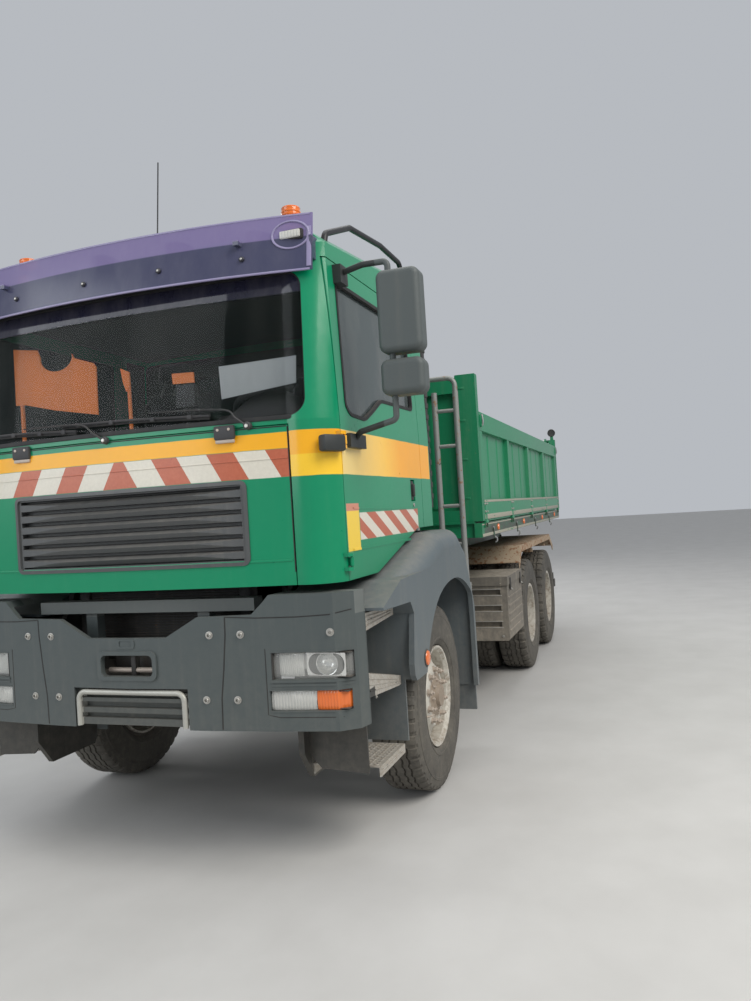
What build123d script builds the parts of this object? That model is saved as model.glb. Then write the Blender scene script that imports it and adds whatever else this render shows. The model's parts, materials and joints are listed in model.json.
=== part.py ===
from build123d import *
import math
import os

# Three-axle tipping truck with a day cab, in millimetres.
# +X points forward, +Y to the truck's left, +Z up. The origin is on the ground,
# midway along the truck and on its centre line.

# Overall layout
WHEELBASE = 3600.0
BOGIE_SPACING = 1400.0
FRONT_OVERHANG = 1430.0
REAR_OVERHANG = 1600.0
LENGTH = FRONT_OVERHANG + WHEELBASE + BOGIE_SPACING + REAR_OVERHANG
AXLE_1 = LENGTH / 2 - FRONT_OVERHANG
AXLE_2 = AXLE_1 - WHEELBASE
AXLE_3 = AXLE_2 - BOGIE_SPACING
TAIL = AXLE_3 - REAR_OVERHANG
NOSE = AXLE_1 + FRONT_OVERHANG
SIDES = (("left", 1), ("right", -1))

# Tyres and wheels
TYRE_RADIUS = 552.0
TYRE_WIDTH = 296.0
TWIN_SPACING = 332.0
RIM_RADIUS = 286.0
RIM_WIDTH = 254.0
RIM_WALL = 12.0
FRONT_TRACK = 2108.0
REAR_WIDTH = 2492.0
HUB_RADIUS = 118.0
DRUM_RADIUS = 214.0
SPINDLE_RADIUS = 45.0
SPIN_CLEARANCE = 1.0
HAND_HOLES = 10
FRONT_WHEEL_Y = FRONT_TRACK / 2
REAR_OUTER_Y = REAR_WIDTH / 2 - TYRE_WIDTH / 2
REAR_INNER_Y = REAR_OUTER_Y - TWIN_SPACING

# Chassis frame
RAIL_HALF_WIDTH = 382.0
RAIL_HEIGHT = 270.0
RAIL_FLANGE = 80.0
RAIL_WALL = 10.0
RAIL_BOTTOM = 800.0
RAIL_TOP = RAIL_BOTTOM + RAIL_HEIGHT
RAIL_FRONT = AXLE_1 + 1250.0
RAIL_REAR = AXLE_3 - 1150.0
SUBFRAME_HEIGHT = 110.0
SUBFRAME_TOP = RAIL_TOP + SUBFRAME_HEIGHT
SUBFRAME_FRONT = AXLE_1 - 1120.0

# Cab outside
CAB_FRONT = AXLE_1 + 1400.0
CAB_REAR = AXLE_1 - 420.0
CAB_HALF_WIDTH = 1118.0
CAB_CROWN = 60.0
SEAM_Y = CAB_HALF_WIDTH - 213.0
CORNER_X = AXLE_1 + 1215.0
CAB_BOTTOM = 1380.0
CAB_BOTTOM_REAR = 1580.0
BELT_Z = 2150.0
EAVES_Z = 2985.0
ROOF_RISE = 95.0
ROOF_SLOPE = 0.09
CAB_WALL = 34.0
WINDSCREEN_RAKE = 100.0
SIDE_LEAN = 30.0
ROOF_INSET = 120.0
FLOOR_TOP = 1620.0
FLOOR_THICKNESS = 36.0
FLOOR_FRONT = AXLE_1 + 1120.0
PANEL_GAP = 6.0

# Cab doors and their windows
DOOR_FRONT = AXLE_1 + 1208.0
DOOR_REAR = AXLE_1 - 135.0
DOOR_TOP = 2925.0
DOOR_STEP_X = AXLE_1 + 790.0
DOOR_RISE_X = AXLE_1 + 10.0
DOOR_HINGE_OUTSET = 16.0
DOOR_FRAME = 85.0
GLASS_THICKNESS = 6.0

# Cab tilt pivot
TILT_X = AXLE_1 + 1220.0
TILT_Z = 1000.0
TILT_PIN = 22.0
TILT_ARM_Y = 656.0

# Tipping body
BED_FRONT = AXLE_1 - 1320.0
BED_HALF_WIDTH = 1255.0
BED_FLOOR_BOTTOM = 1554.0
BED_FLOOR_THICKNESS = 16.0
BED_FLOOR_TOP = BED_FLOOR_BOTTOM + BED_FLOOR_THICKNESS
SIDE_TOP = 2414.0
SIDE_THICKNESS = 60.0
HEADBOARD_TOP = 2700.0
POST_WIDTH = 157.0
POST_DEPTH = 85.0
BEARER_HEIGHT = 110.0
BEAM_HEIGHT = BED_FLOOR_BOTTOM - BEARER_HEIGHT - SUBFRAME_TOP - 12.0
BEAM_Y = 455.0
TIP_X = AXLE_3 - 1080.0
TIP_Z = SUBFRAME_TOP + 62.0
TIP_PIN_RADIUS = 25.0
PIN_CLEARANCE = 0.5


def block(x0, x1, y0, y1, z0, z1):
    """A box between two corners."""
    return Pos((x0 + x1) / 2, (y0 + y1) / 2, (z0 + z1) / 2) * Box(
        abs(x1 - x0), abs(y1 - y0), abs(z1 - z0))


def rod(x, y, z, radius, length, axis):
    """A cylinder centred on a point, along X, Y or Z."""
    turn = {"X": (0, 90, 0), "Y": (90, 0, 0), "Z": (0, 0, 0)}[axis]
    return Pos(x, y, z) * Rot(*turn) * Cylinder(radius, length)


def side_plate(outline, y0, y1):
    """A plate cut to an outline of (x, z) points, from y0 to y1."""
    face = make_face(Polyline(*[(x, y0, z) for x, z in outline], close=True))
    return extrude(face, amount=abs(y1 - y0), dir=(0, 1 if y1 > y0 else -1, 0))


def front_plate(outline, x0, x1):
    """A plate cut to an outline of (y, z) points, from x0 to x1."""
    face = make_face(Polyline(*[(x0, y, z) for y, z in outline], close=True))
    return extrude(face, amount=abs(x1 - x0), dir=(1 if x1 > x0 else -1, 0, 0))


def plan_plate(outline, z0, z1):
    """A plate cut to an outline of (x, y) points, from z0 to z1."""
    face = make_face(Polyline(*[(x, y, z0) for x, y in outline], close=True))
    return extrude(face, amount=z1 - z0, dir=(0, 0, 1))


def turned(profile, x, y, z, side=1):
    """A body of revolution about a line along Y, from (radius, offset) points."""
    points = [(x, y + side * offset, z + radius) for radius, offset in profile]
    face = make_face(Polyline(*points, close=True))
    return revolve(face, axis=Axis((x, y, z), (0, 1, 0)))


def tube(points, radius, bend):
    """A round bar along straight runs joined by arcs."""
    path = FilletPolyline(*points, radius=bend) if len(points) > 2 else Polyline(*points)
    start = Plane(origin=points[0], z_dir=Vector(*points[1]) - Vector(*points[0]))
    return sweep(start * Circle(radius), path=path)


def mirrored(shape):
    """The same shape on the truck's other side."""
    return mirror(shape, about=Plane.XZ)


def both(shape):
    """A shape and its mirror image, as one compound of solids that stand apart."""
    return Compound(children=shape.solids() + mirrored(shape).solids())


def on_side(shape, side):
    """A left-hand shape, or its mirror image for the right."""
    return shape if side > 0 else mirrored(shape)


PARTS = {}


def keep(name, shape):
    """File a finished piece under its node name."""
    PARTS[name] = shape


# Tyres and wheels
def tyre(x, y):
    """One tyre, with bulged sidewalls and a nearly flat tread."""
    half = TYRE_WIDTH / 2
    bead = RIM_RADIUS + 4
    seat = RIM_WIDTH / 2 - 18
    lip = RIM_RADIUS + 17
    section = [
        Line((bead, seat), (lip, seat)),
        Line((lip, seat), (lip + 8, seat + 16)),
        ThreePointArc((lip + 8, seat + 16), (TYRE_RADIUS * 0.74, half),
                      (TYRE_RADIUS - 52, half - 10)),
        Line((TYRE_RADIUS - 52, half - 10), (TYRE_RADIUS - 10, half - 22)),
        Line((TYRE_RADIUS - 10, half - 22), (TYRE_RADIUS, half - 46)),
    ]
    outer = Wire(section)
    flipped = mirror(outer, about=Plane.XZ)
    crown = Line((TYRE_RADIUS, half - 46), (TYRE_RADIUS, 46 - half))
    foot = Line((bead, seat), (bead, -seat))
    face = make_face(outer.edges() + flipped.edges() + [crown.edge(), foot.edge()])
    ring = revolve(face, axis=Axis.Y)
    return Pos(x, y, TYRE_RADIUS) * ring


def hand_holes(rim, x, y, ring, radius, depth):
    """The rim with ten round hand holes cut through its disc."""
    holes = []
    for number in range(HAND_HOLES):
        angle = 2 * math.pi * number / HAND_HOLES
        holes += rod(x + ring * math.cos(angle), y, TYRE_RADIUS + ring * math.sin(angle), radius,
                     depth, "Y").solids()
    return rim - holes


def front_rim(x, side):
    """A steered wheel's rim, its bulged disc and its hub, bored for the spindle."""
    half = RIM_WIDTH / 2
    bore = SPINDLE_RADIUS + SPIN_CLEARANCE
    profile = [
        (RIM_RADIUS + 14, half), (RIM_RADIUS + 14, half - 12), (RIM_RADIUS + 2, half - 16),
        (RIM_RADIUS + 2, -half), (RIM_RADIUS - RIM_WALL, -half), (RIM_RADIUS - RIM_WALL, 24),
        (DRUM_RADIUS, 40), (DRUM_RADIUS, -96), (DRUM_RADIUS - 14, -96), (DRUM_RADIUS - 14, 28),
        (bore, 28), (bore, 96), (0, 96), (0, 148), (62, 148), (70, 128), (HUB_RADIUS, 112),
        (HUB_RADIUS + 58, 104), (HUB_RADIUS + 96, 66), (RIM_RADIUS - RIM_WALL, 40),
        (RIM_RADIUS - RIM_WALL, half - 24), (RIM_RADIUS + 2, half - 2),
    ]
    rim = turned(profile, x, side * FRONT_WHEEL_Y, TYRE_RADIUS, side)
    return hand_holes(rim, x, side * (FRONT_WHEEL_Y + 60), 240, 19, 120)


def twin_rim(x, side):
    """The two rims of a twin wheel, bolted back to back on one hub."""
    middle = (REAR_OUTER_Y + REAR_INNER_Y) / 2
    bore = SPINDLE_RADIUS + 20 + SPIN_CLEARANCE
    wall = RIM_RADIUS - RIM_WALL
    far = TWIN_SPACING / 2 + RIM_WIDTH / 2
    near = TWIN_SPACING / 2 - RIM_WIDTH / 2
    disc = DRUM_RADIUS + 8
    outer_rim = [(RIM_RADIUS + 14, far), (RIM_RADIUS + 14, far - 12), (RIM_RADIUS + 2, far - 16),
                 (RIM_RADIUS + 2, near + 16), (RIM_RADIUS + 14, near + 12),
                 (RIM_RADIUS + 14, near), (wall, near), (disc + 14, 2)]
    inner_rim = [(radius, -offset) for radius, offset in reversed(outer_rim)]
    profile = outer_rim + inner_rim + [
        (wall, -far), (wall, -near - 20), (disc, -18), (DRUM_RADIUS, -18), (DRUM_RADIUS, -150),
        (DRUM_RADIUS - 14, -150), (DRUM_RADIUS - 14, -22), (bore, -22), (bore, 96), (0, 96),
        (0, 190), (80, 190), (96, 172), (HUB_RADIUS + 22, 160), (HUB_RADIUS + 22, 20), (disc, 18),
        (wall, near + 20), (wall, far),
    ]
    rim = turned(profile, x, side * middle, TYRE_RADIUS, side)
    return hand_holes(rim, x, side * middle, 248, 16, 150)


for name, side in SIDES:
    keep(f"front_tyre_{name}", tyre(AXLE_1, side * FRONT_WHEEL_Y))
    keep(f"front_rim_{name}", front_rim(AXLE_1, side))
    for row, axle in (("middle", AXLE_2), ("rear", AXLE_3)):
        pair = tyre(axle, side * REAR_OUTER_Y).solids() + tyre(axle, side * REAR_INNER_Y).solids()
        keep(f"{row}_tyres_{name}", Compound(children=pair))
        keep(f"{row}_rims_{name}", twin_rim(axle, side))

# Front axle, kingpins, knuckles and tie rod
KINGPIN_Y = 872.0
KINGPIN_RADIUS = 24.0
BEAM_EYE_HEIGHT = 120.0
EAR_HEIGHT = 38.0
EAR_GAP = 6.0
BEAM_DROP = 110.0
STEER_ARM = 190.0
TIE_ROD_Z = TYRE_RADIUS - 118.0
SPRING_Y = RAIL_HALF_WIDTH + 52.0
SPRING_WIDTH = 84.0


def front_axle():
    """The dropped front beam, from kingpin eye to kingpin eye, with its spring pads."""
    low = TYRE_RADIUS - BEAM_DROP
    outline = [
        (KINGPIN_Y, TYRE_RADIUS + 42), (KINGPIN_Y - 90, TYRE_RADIUS + 38),
        (SPRING_Y + 110, low + 60), (SPRING_Y - 200, low + 50), (0, low + 50)]
    top = outline + [(-y, z) for y, z in reversed(outline[:-1])]
    bottom = [(-KINGPIN_Y, TYRE_RADIUS - 42), (90 - KINGPIN_Y, TYRE_RADIUS - 44),
              (-SPRING_Y - 110, low - 60), (SPRING_Y + 110, low - 60),
              (KINGPIN_Y - 90, TYRE_RADIUS - 44), (KINGPIN_Y, TYRE_RADIUS - 42)]
    beam = front_plate(top + bottom, AXLE_1 - 45, AXLE_1 + 45)
    for side in (1, -1):
        beam += rod(AXLE_1, side * KINGPIN_Y, TYRE_RADIUS, 52, BEAM_EYE_HEIGHT, "Z")
        beam -= rod(AXLE_1, side * KINGPIN_Y, TYRE_RADIUS, KINGPIN_RADIUS + 0.5, 400, "Z")
        beam += block(AXLE_1 - 90, AXLE_1 + 90, side * SPRING_Y - 50, side * SPRING_Y + 50,
                      low + 40, low + 76)
    return beam


def knuckle(side):
    """A steering knuckle: two ears and a kingpin, a spindle for the wheel and a steering arm."""
    ear_z = BEAM_EYE_HEIGHT / 2 + EAR_GAP
    y = KINGPIN_Y
    fork = block(AXLE_1 - 46, AXLE_1 + 46, y + 58, y + 96,
                 TYRE_RADIUS - ear_z - EAR_HEIGHT, TYRE_RADIUS + ear_z + EAR_HEIGHT)
    for up in (1, -1):
        z0 = TYRE_RADIUS + up * ear_z
        z1 = z0 + up * EAR_HEIGHT
        fork += block(AXLE_1 - 46, AXLE_1 + 46, y, y + 60, z0, z1)
        fork += rod(AXLE_1, y, (z0 + z1) / 2, 46, EAR_HEIGHT, "Z")
    fork += rod(AXLE_1, y, TYRE_RADIUS, KINGPIN_RADIUS, 2 * (ear_z + EAR_HEIGHT), "Z")
    tip = FRONT_WHEEL_Y + 70
    fork += rod(AXLE_1, (y + 90 + tip) / 2, TYRE_RADIUS, SPINDLE_RADIUS, tip - y - 90, "Y")
    arm_z = TYRE_RADIUS - ear_z - EAR_HEIGHT
    arm = plan_plate([(AXLE_1 + 30, y + 30), (AXLE_1 + 30, y - 36), (AXLE_1 - STEER_ARM, y - 90),
                      (AXLE_1 - STEER_ARM - 26, y - 60), (AXLE_1 - STEER_ARM, y - 34),
                      (AXLE_1 - 60, y + 36)], arm_z - 22, arm_z + 2)
    return on_side(fork + arm, side)


def tie_rod():
    """The bar that joins the two steering arms, with a ball end at each."""
    x = AXLE_1 - STEER_ARM
    end = KINGPIN_Y - 62
    z = TYRE_RADIUS - BEAM_EYE_HEIGHT / 2 - EAR_GAP - EAR_HEIGHT - 22 - 44
    bar = rod(x, 0, z, 21, 2 * end, "Y")
    for side in (1, -1):
        bar += rod(x, side * end, z + 6, 30, 52, "Z")
    return bar


keep("front_axle", front_axle())
for name, side in SIDES:
    keep(f"knuckle_{name}", knuckle(side))
keep("tie_rod", tie_rod())


# Driven axles, springs and drive line
DIFF_RADIUS = 215.0
HEAD_REACH = 350.0
AXLE_TUBE = 78.0


def driven_axle(x):
    """A rear axle: tubes, a swollen banjo housing and the driving head."""
    reach = (REAR_OUTER_Y + REAR_INNER_Y) / 2 + 88
    casing = rod(x, 0, TYRE_RADIUS, AXLE_TUBE, 2 * (REAR_INNER_Y - 150), "Y")
    casing += rod(x, 0, TYRE_RADIUS, SPINDLE_RADIUS + 20, 2 * reach, "Y")
    swell = [(DIFF_RADIUS, -70), (DIFF_RADIUS, 70), (AXLE_TUBE, 260), (0, 260), (0, -260),
             (AXLE_TUBE, -260)]
    casing += turned(swell, x, 0, TYRE_RADIUS)
    casing += rod(x + 220, 0, TYRE_RADIUS + 30, 105, 240, "X")
    return casing


def leaf_pack(x, z, length, leaves, camber, y):
    """A stack of leaves, each shorter than the last, on a shallow arc."""
    outline = []
    steps = 6
    for step in range(steps + 1):
        across = -1 + 2 * step / steps
        outline.append((x + across * length / 2, z + camber * across * across))
    bottom = [(px, pz + 16) for px, pz in outline]
    pack = side_plate(outline + bottom[::-1], y - SPRING_WIDTH / 2, y + SPRING_WIDTH / 2)
    for leaf in range(1, leaves):
        share = 1 - leaf / (leaves + 1)
        low = [(x + (px - x) * share, z + camber * ((px - x) / (length / 2) * share) ** 2
                - 17 * leaf) for px, pz in outline]
        high = [(px, pz + 17.5) for px, pz in low]
        pack += side_plate(low + high[::-1], y - SPRING_WIDTH / 2, y + SPRING_WIDTH / 2)
    return pack


def springs():
    """The front leaf springs and the rear bogie springs on their trunnions."""
    low = TYRE_RADIUS - BEAM_DROP + 76
    front = leaf_pack(AXLE_1, low + 52, 1500, 4, 120, SPRING_Y)
    for end in (-1, 1):
        x = AXLE_1 + end * 735
        front += block(x - 36, x + 36, SPRING_Y - SPRING_WIDTH / 2, SPRING_Y + SPRING_WIDTH / 2,
                       low + 170, RAIL_BOTTOM + 90)
        front += block(x - 60, x + 60, RAIL_HALF_WIDTH, SPRING_Y, RAIL_BOTTOM + 20,
                       RAIL_BOTTOM + 130)
    front += block(AXLE_1 - 60, AXLE_1 + 60, SPRING_Y - 44, SPRING_Y + 44, low, low + 54)
    middle = (AXLE_2 + AXLE_3) / 2
    seat = TYRE_RADIUS + AXLE_TUBE
    rear = leaf_pack(middle, seat + 64, BOGIE_SPACING + 120, 5, -64 + 6, SPRING_Y + 16)
    rear += rod(middle, SPRING_Y - 20, seat - 20, 74, SPRING_WIDTH + 70, "Y")
    rear += block(middle - 60, middle + 60, SPRING_Y - 26, SPRING_Y + 58, seat - 20, seat + 20)
    rear += block(middle - 130, middle + 130, RAIL_HALF_WIDTH, RAIL_HALF_WIDTH + 24, seat - 90,
                  RAIL_BOTTOM + 160)
    return both(front).solids() + both(rear).solids()


ENGINE_FRONT = AXLE_1 + 900.0
ENGINE_REAR = AXLE_1 - 420.0
ENGINE_TOP = 1490.0


def driveline():
    """A plain block for the engine and gearbox, then the shafts to both driven axles."""
    power = block(ENGINE_REAR, ENGINE_FRONT, -250, 250, 760, ENGINE_TOP)
    power += block(ENGINE_REAR - 620, ENGINE_REAR + 5, -190, 190, 700, 1050)
    start = ENGINE_REAR - 615
    head = AXLE_2 + HEAD_REACH
    span = math.hypot(start - head, 880 - TYRE_RADIUS - 30)
    angle = math.degrees(math.atan2(880 - TYRE_RADIUS - 30, start - head))
    shaft = Pos((start + head) / 2, 0, (880 + TYRE_RADIUS + 30) / 2) * Rot(0, 90 - angle, 0)
    power += shaft * Cylinder(52, span)
    back = AXLE_2 - DIFF_RADIUS - 1
    front = AXLE_3 + HEAD_REACH
    power += rod((back + front) / 2, 0, TYRE_RADIUS + 30, 46, back - front, "X")
    return power


keep("rear_axles", Compound(children=driven_axle(AXLE_2).solids() + driven_axle(AXLE_3).solids()))
keep("springs", Compound(children=springs()))
keep("driveline", driveline())


# Chassis frame
FRONT_BEAM_Z = 1330.0
TOW_BORE = 25.0
TOW_EAR = 24.0
TOW_MOUTH = 74.0
TOW_Z = 690.0


def rail(side):
    """One channel rail, open towards the middle, with the tipper's subframe on top."""
    y = side * RAIL_HALF_WIDTH
    inner = side * (RAIL_HALF_WIDTH - RAIL_FLANGE)
    web = side * (RAIL_HALF_WIDTH - RAIL_WALL)
    piece = block(RAIL_REAR, RAIL_FRONT, min(y, inner), max(y, inner), RAIL_BOTTOM, RAIL_TOP)
    piece -= block(RAIL_REAR - 1, RAIL_FRONT + 1, min(web, inner - side), max(web, inner - side),
                   RAIL_BOTTOM + RAIL_WALL, RAIL_TOP - RAIL_WALL)
    piece += block(RAIL_REAR, SUBFRAME_FRONT, min(y, inner), max(y, inner), RAIL_TOP, SUBFRAME_TOP)
    return piece


def chassis_frame():
    """Two channel rails with a subframe, cross members, the tip hinge and the rear coupling."""
    frame = rail(1) + rail(-1)
    inside = RAIL_HALF_WIDTH - RAIL_WALL + 1
    high = RAIL_TOP - RAIL_WALL
    low = high - 110
    for x in (AXLE_1 - 1250, AXLE_2 + 700, AXLE_2 - BOGIE_SPACING / 2, RAIL_REAR + 60):
        frame += block(x - 50, x + 50, -inside, inside, low, high)
    frame += rod(RAIL_FRONT - 60, 0, RAIL_BOTTOM + 90, 60, 2 * inside, "Y")
    for side in (1, -1):
        ear = side_plate([(TIP_X - 70, RAIL_TOP - 60), (TIP_X + 120, RAIL_TOP - 60),
                          (TIP_X + 50, TIP_Z + 42), (TIP_X - 50, TIP_Z + 42)],
                         side * RAIL_HALF_WIDTH, side * (RAIL_HALF_WIDTH + 24))
        frame += ear + rod(TIP_X, side * (RAIL_HALF_WIDTH + 65), TIP_Z, TIP_PIN_RADIUS, 130, "Y")
    jaw = block(RAIL_REAR - 130, RAIL_REAR + 20, -120, 120, TOW_Z - TOW_MOUTH / 2 - TOW_EAR,
                TOW_Z + TOW_MOUTH / 2 + TOW_EAR)
    jaw -= block(RAIL_REAR - 140, RAIL_REAR - 20, -130, 130, TOW_Z - TOW_MOUTH / 2,
                 TOW_Z + TOW_MOUTH / 2)
    jaw -= rod(RAIL_REAR - 75, 0, TOW_Z, TOW_BORE, 400, "Z")
    jaw += block(RAIL_REAR - 18, RAIL_REAR + 20, -inside, inside, TOW_Z - 60, RAIL_TOP - 30)
    return frame + jaw


FRAME = chassis_frame()

# Front bumper
BUMPER_FACE = AXLE_1 + 1430.0
BUMPER_BOTTOM = 705.0
BUMPER_TOP = 1250.0
BUMPER_HALF_WIDTH = 1182.0
BUMPER_DEPTH = 226.0
BUMPER_WALL = 26.0
SHOULDER_TOP = 1340.0
LAMP_Y0 = 770.0
LAMP_Y1 = 1150.0
LAMP_Z0 = 945.0
LAMP_Z1 = 1070.0
INDICATOR_Z0 = 800.0
INDICATOR_Z1 = 893.0
STEP_HALF_WIDTH = 332.0
STEP_TOP = 903.0


def bumper_plan(inset, front):
    """The bumper's outline seen from above, drawn in by an inset."""
    tip = BUMPER_FACE - inset
    half = BUMPER_HALF_WIDTH - inset
    back = front
    left = [(tip, 0), (tip - 18, 460), (tip - 46, 780), (tip - 84, 1080), (tip - 150, half - 20),
            (tip - 230, half), (back, half)]
    return left + [(x, -y) for x, y in reversed(left[1:])]


def bumper_corner(side, back):
    """What is cut off the bumper's outer corners, so its ends are round in the front view."""
    half = BUMPER_HALF_WIDTH
    outline = [(half - 88, BUMPER_BOTTOM - 5), (half - 58, BUMPER_BOTTOM + 9),
               (half - 22, BUMPER_BOTTOM + 48), (half - 5, BUMPER_BOTTOM + 102),
               (half + 1, BUMPER_BOTTOM + 150), (half + 1, SHOULDER_TOP - 130),
               (half - 12, SHOULDER_TOP - 86), (half - 34, SHOULDER_TOP - 42),
               (half - 74, SHOULDER_TOP - 6), (half - 92, SHOULDER_TOP + 5),
               (half + 20, SHOULDER_TOP + 5), (half + 20, BUMPER_BOTTOM - 5)]
    plate = front_plate([(side * y, z) for y, z in outline], back - 10, BUMPER_FACE + 10)
    return plate


def bumper():
    """The steel bumper: a wrapped face with lamp openings, notch, towing slot and step opening."""
    back = BUMPER_FACE - BUMPER_DEPTH
    shell = plan_plate(bumper_plan(0, back), BUMPER_BOTTOM, SHOULDER_TOP)
    shell -= plan_plate(bumper_plan(BUMPER_WALL, back - 10), BUMPER_BOTTOM - 1, SHOULDER_TOP - 30)
    notch = [(-540, SHOULDER_TOP + 9), (-540, BUMPER_TOP), (-400, BUMPER_TOP - 4), (-225, 1150),
             (225, 1150), (400, BUMPER_TOP - 4), (680, BUMPER_TOP), (740, SHOULDER_TOP - 34),
             (780, SHOULDER_TOP + 9)]
    notch = [(-780, SHOULDER_TOP + 9), (-740, SHOULDER_TOP - 34), (-680, BUMPER_TOP),
             (-400, BUMPER_TOP - 4)] + notch[3:]
    shell -= front_plate(notch, back - 10, BUMPER_FACE + 10)
    shell -= block(back - 10, BUMPER_FACE + 10, -160, 160, 952, 1077)
    shell -= block(back - 10, BUMPER_FACE + 10, -STEP_HALF_WIDTH, STEP_HALF_WIDTH,
                   BUMPER_BOTTOM - 2, STEP_TOP)
    for side in (1, -1):
        shell -= block(AXLE_1 + 1180, BUMPER_FACE + 10, side * LAMP_Y0, side * LAMP_Y1,
                       LAMP_Z0, LAMP_Z1)
        shell -= block(AXLE_1 + 1180, BUMPER_FACE + 10, side * (LAMP_Y0 - 15),
                       side * (LAMP_Y1 - 15), INDICATOR_Z0, INDICATOR_Z1)
        shell -= bumper_corner(side, back)
        shell += block(RAIL_FRONT - 6, BUMPER_FACE - BUMPER_WALL + 6, side * RAIL_HALF_WIDTH,
                       side * 430,
                       RAIL_BOTTOM + 60, RAIL_TOP - 10)
        shell += block(RAIL_FRONT - 120, RAIL_FRONT, side * RAIL_HALF_WIDTH, side * 430,
                       RAIL_BOTTOM + 60, RAIL_TOP - 10)
        reach = TILT_ARM_Y + 46
        shell += rod(TILT_X, side * (reach + 420) / 2, TILT_Z, TILT_PIN, reach - 420, "Y")
    return shell


def lamp_insert(side):
    """The headlamp and the lower lamp, set into the bumper's openings."""
    gap = 4
    front = AXLE_1 + 1372
    upper = front_plate([(LAMP_Y0 + gap, LAMP_Z0 + gap), (LAMP_Y1 - gap, LAMP_Z0 + gap),
                         (LAMP_Y1 - gap, LAMP_Z1 - gap), (LAMP_Y0 + gap, LAMP_Z1 - gap)],
                        AXLE_1 + 1215, front)
    lower = front_plate([(LAMP_Y0 - 15 + gap, INDICATOR_Z0 + gap),
                         (LAMP_Y1 - 15 - gap, INDICATOR_Z0 + gap),
                         (LAMP_Y1 - 15 - gap, INDICATOR_Z1 - gap),
                         (LAMP_Y0 - 15 + gap, INDICATOR_Z1 - gap)], AXLE_1 + 1215, front)
    trim = plan_plate(bumper_plan(14, AXLE_1 + 1150), INDICATOR_Z0, LAMP_Z1)
    back = block(AXLE_1 + 1190, AXLE_1 + 1218, LAMP_Y0 - 8, LAMP_Y1 - 24, INDICATOR_Z0 + 10,
                 LAMP_Z1 - 10)
    return on_side((upper & trim) + (lower & trim) + back, side)


def bumper_step():
    """The folding step below the towing slot: a tube frame, a ribbed tread and its hinges."""
    y = STEP_HALF_WIDTH - 24
    x = BUMPER_FACE - 18
    frame = tube([(x, -y, BUMPER_BOTTOM + 8), (x, -y, STEP_TOP - 22), (x, y, STEP_TOP - 22),
                  (x, y, BUMPER_BOTTOM + 8)], 14, 40)
    for z, high in ((735, 34), (790, 26), (842, 20)):
        frame += block(x - 40, x - 4, -y, y, z - high / 2, z + high / 2)
    frame += block(x - 70, x - 36, -y, y, BUMPER_BOTTOM + 14, STEP_TOP - 30)
    for side in (1, -1):
        frame += block(x - 52, x - 36, side * (y - 10), side * (STEP_HALF_WIDTH - 0.5), 740, 840)
    return frame


def front_beam():
    """The cross beam over the bumper and the underrun plate beneath it, on the rail ends."""
    x = AXLE_1 + 1215
    beam = block(x - 30, x + 60, -640, 640, FRONT_BEAM_Z - 74, FRONT_BEAM_Z - 12)
    for side in (1, -1):
        beam += block(x - 30, x + 30, side * 304, side * 372, RAIL_TOP, FRONT_BEAM_Z - 70)
    return beam


keep("bumper", Compound(children=bumper().solids() + front_beam().solids()))
keep("headlamps", Compound(children=lamp_insert(1).solids() + lamp_insert(-1).solids()))
keep("bumper_step", bumper_step())

# Front mudguards and cab steps
GUARD_OUTER = 1270.0
GUARD_INNER = 724.0
GUARD_SKIN = 14.0
GUARD_GAP = 30.0
ARCH_TOP = 1240.0
GUARD_WALL_X = 690.0
GUARD_FOOT = 476.0
GUARD_NOSE_Z = 1246.0
GUARD_WALL = 30.0
GUARD_ROUND = 105.0
STEP_OUT = 1175.0
STEP_IN = 820.0
STEP_FRONT = AXLE_1 + 1186.0
STEP_GAP = 6.0


def guard_outline(inset):
    """The mudguard's upper outline in side view, from its rear foot to its front foot."""
    rear = AXLE_1 - 770 + inset
    crown = CAB_BOTTOM_REAR - GUARD_GAP - inset
    low = CAB_BOTTOM - GUARD_GAP - inset
    return [(rear, 450), (rear + 10, 1200), (AXLE_1 - 640 + inset * 0.7, 1420 - inset * 0.4),
            (AXLE_1 - 430, crown), (DOOR_RISE_X - 10, crown), (DOOR_STEP_X - 6, low),
            (AXLE_1 + 890, low - 2), (AXLE_1 + 1184 - inset, GUARD_NOSE_Z - inset * 0.4)]


def rounded_ridge(plate, radius):
    """The plate with its outer upper edges rounded, from the ridge down to the nose."""
    outer = plate.edges().filter_by(GeomType.LINE).group_by(Axis.Y)[-1]
    return fillet([e for e in outer if e.center().Z > 1300 and e.length > 130], radius)


def arch_cut(y0, y1):
    """The wheel arch's smooth opening, through the mudguard from y0 to y1."""
    rear = AXLE_1 - 720
    front = AXLE_1 + 560
    curve = Spline([(AXLE_1 + x, y0, z) for x, z in (
        (560, 640), (500, 820), (385, 1000), (190, 1158), (-60, ARCH_TOP - 8), (-300, ARCH_TOP),
        (-520, ARCH_TOP - 50), (-665, 1120), (-720, 940))],
        tangents=[(-0.12, 0, 1), (-0.06, 0, -1)])
    face = make_face([curve, Line(curve @ 1, (rear, y0, 100)),
                      Line((rear, y0, 100), (front, y0, 100)), Line((front, y0, 100), curve @ 0)])
    return extrude(face, amount=y1 - y0, dir=(0, 1, 0))


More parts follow.
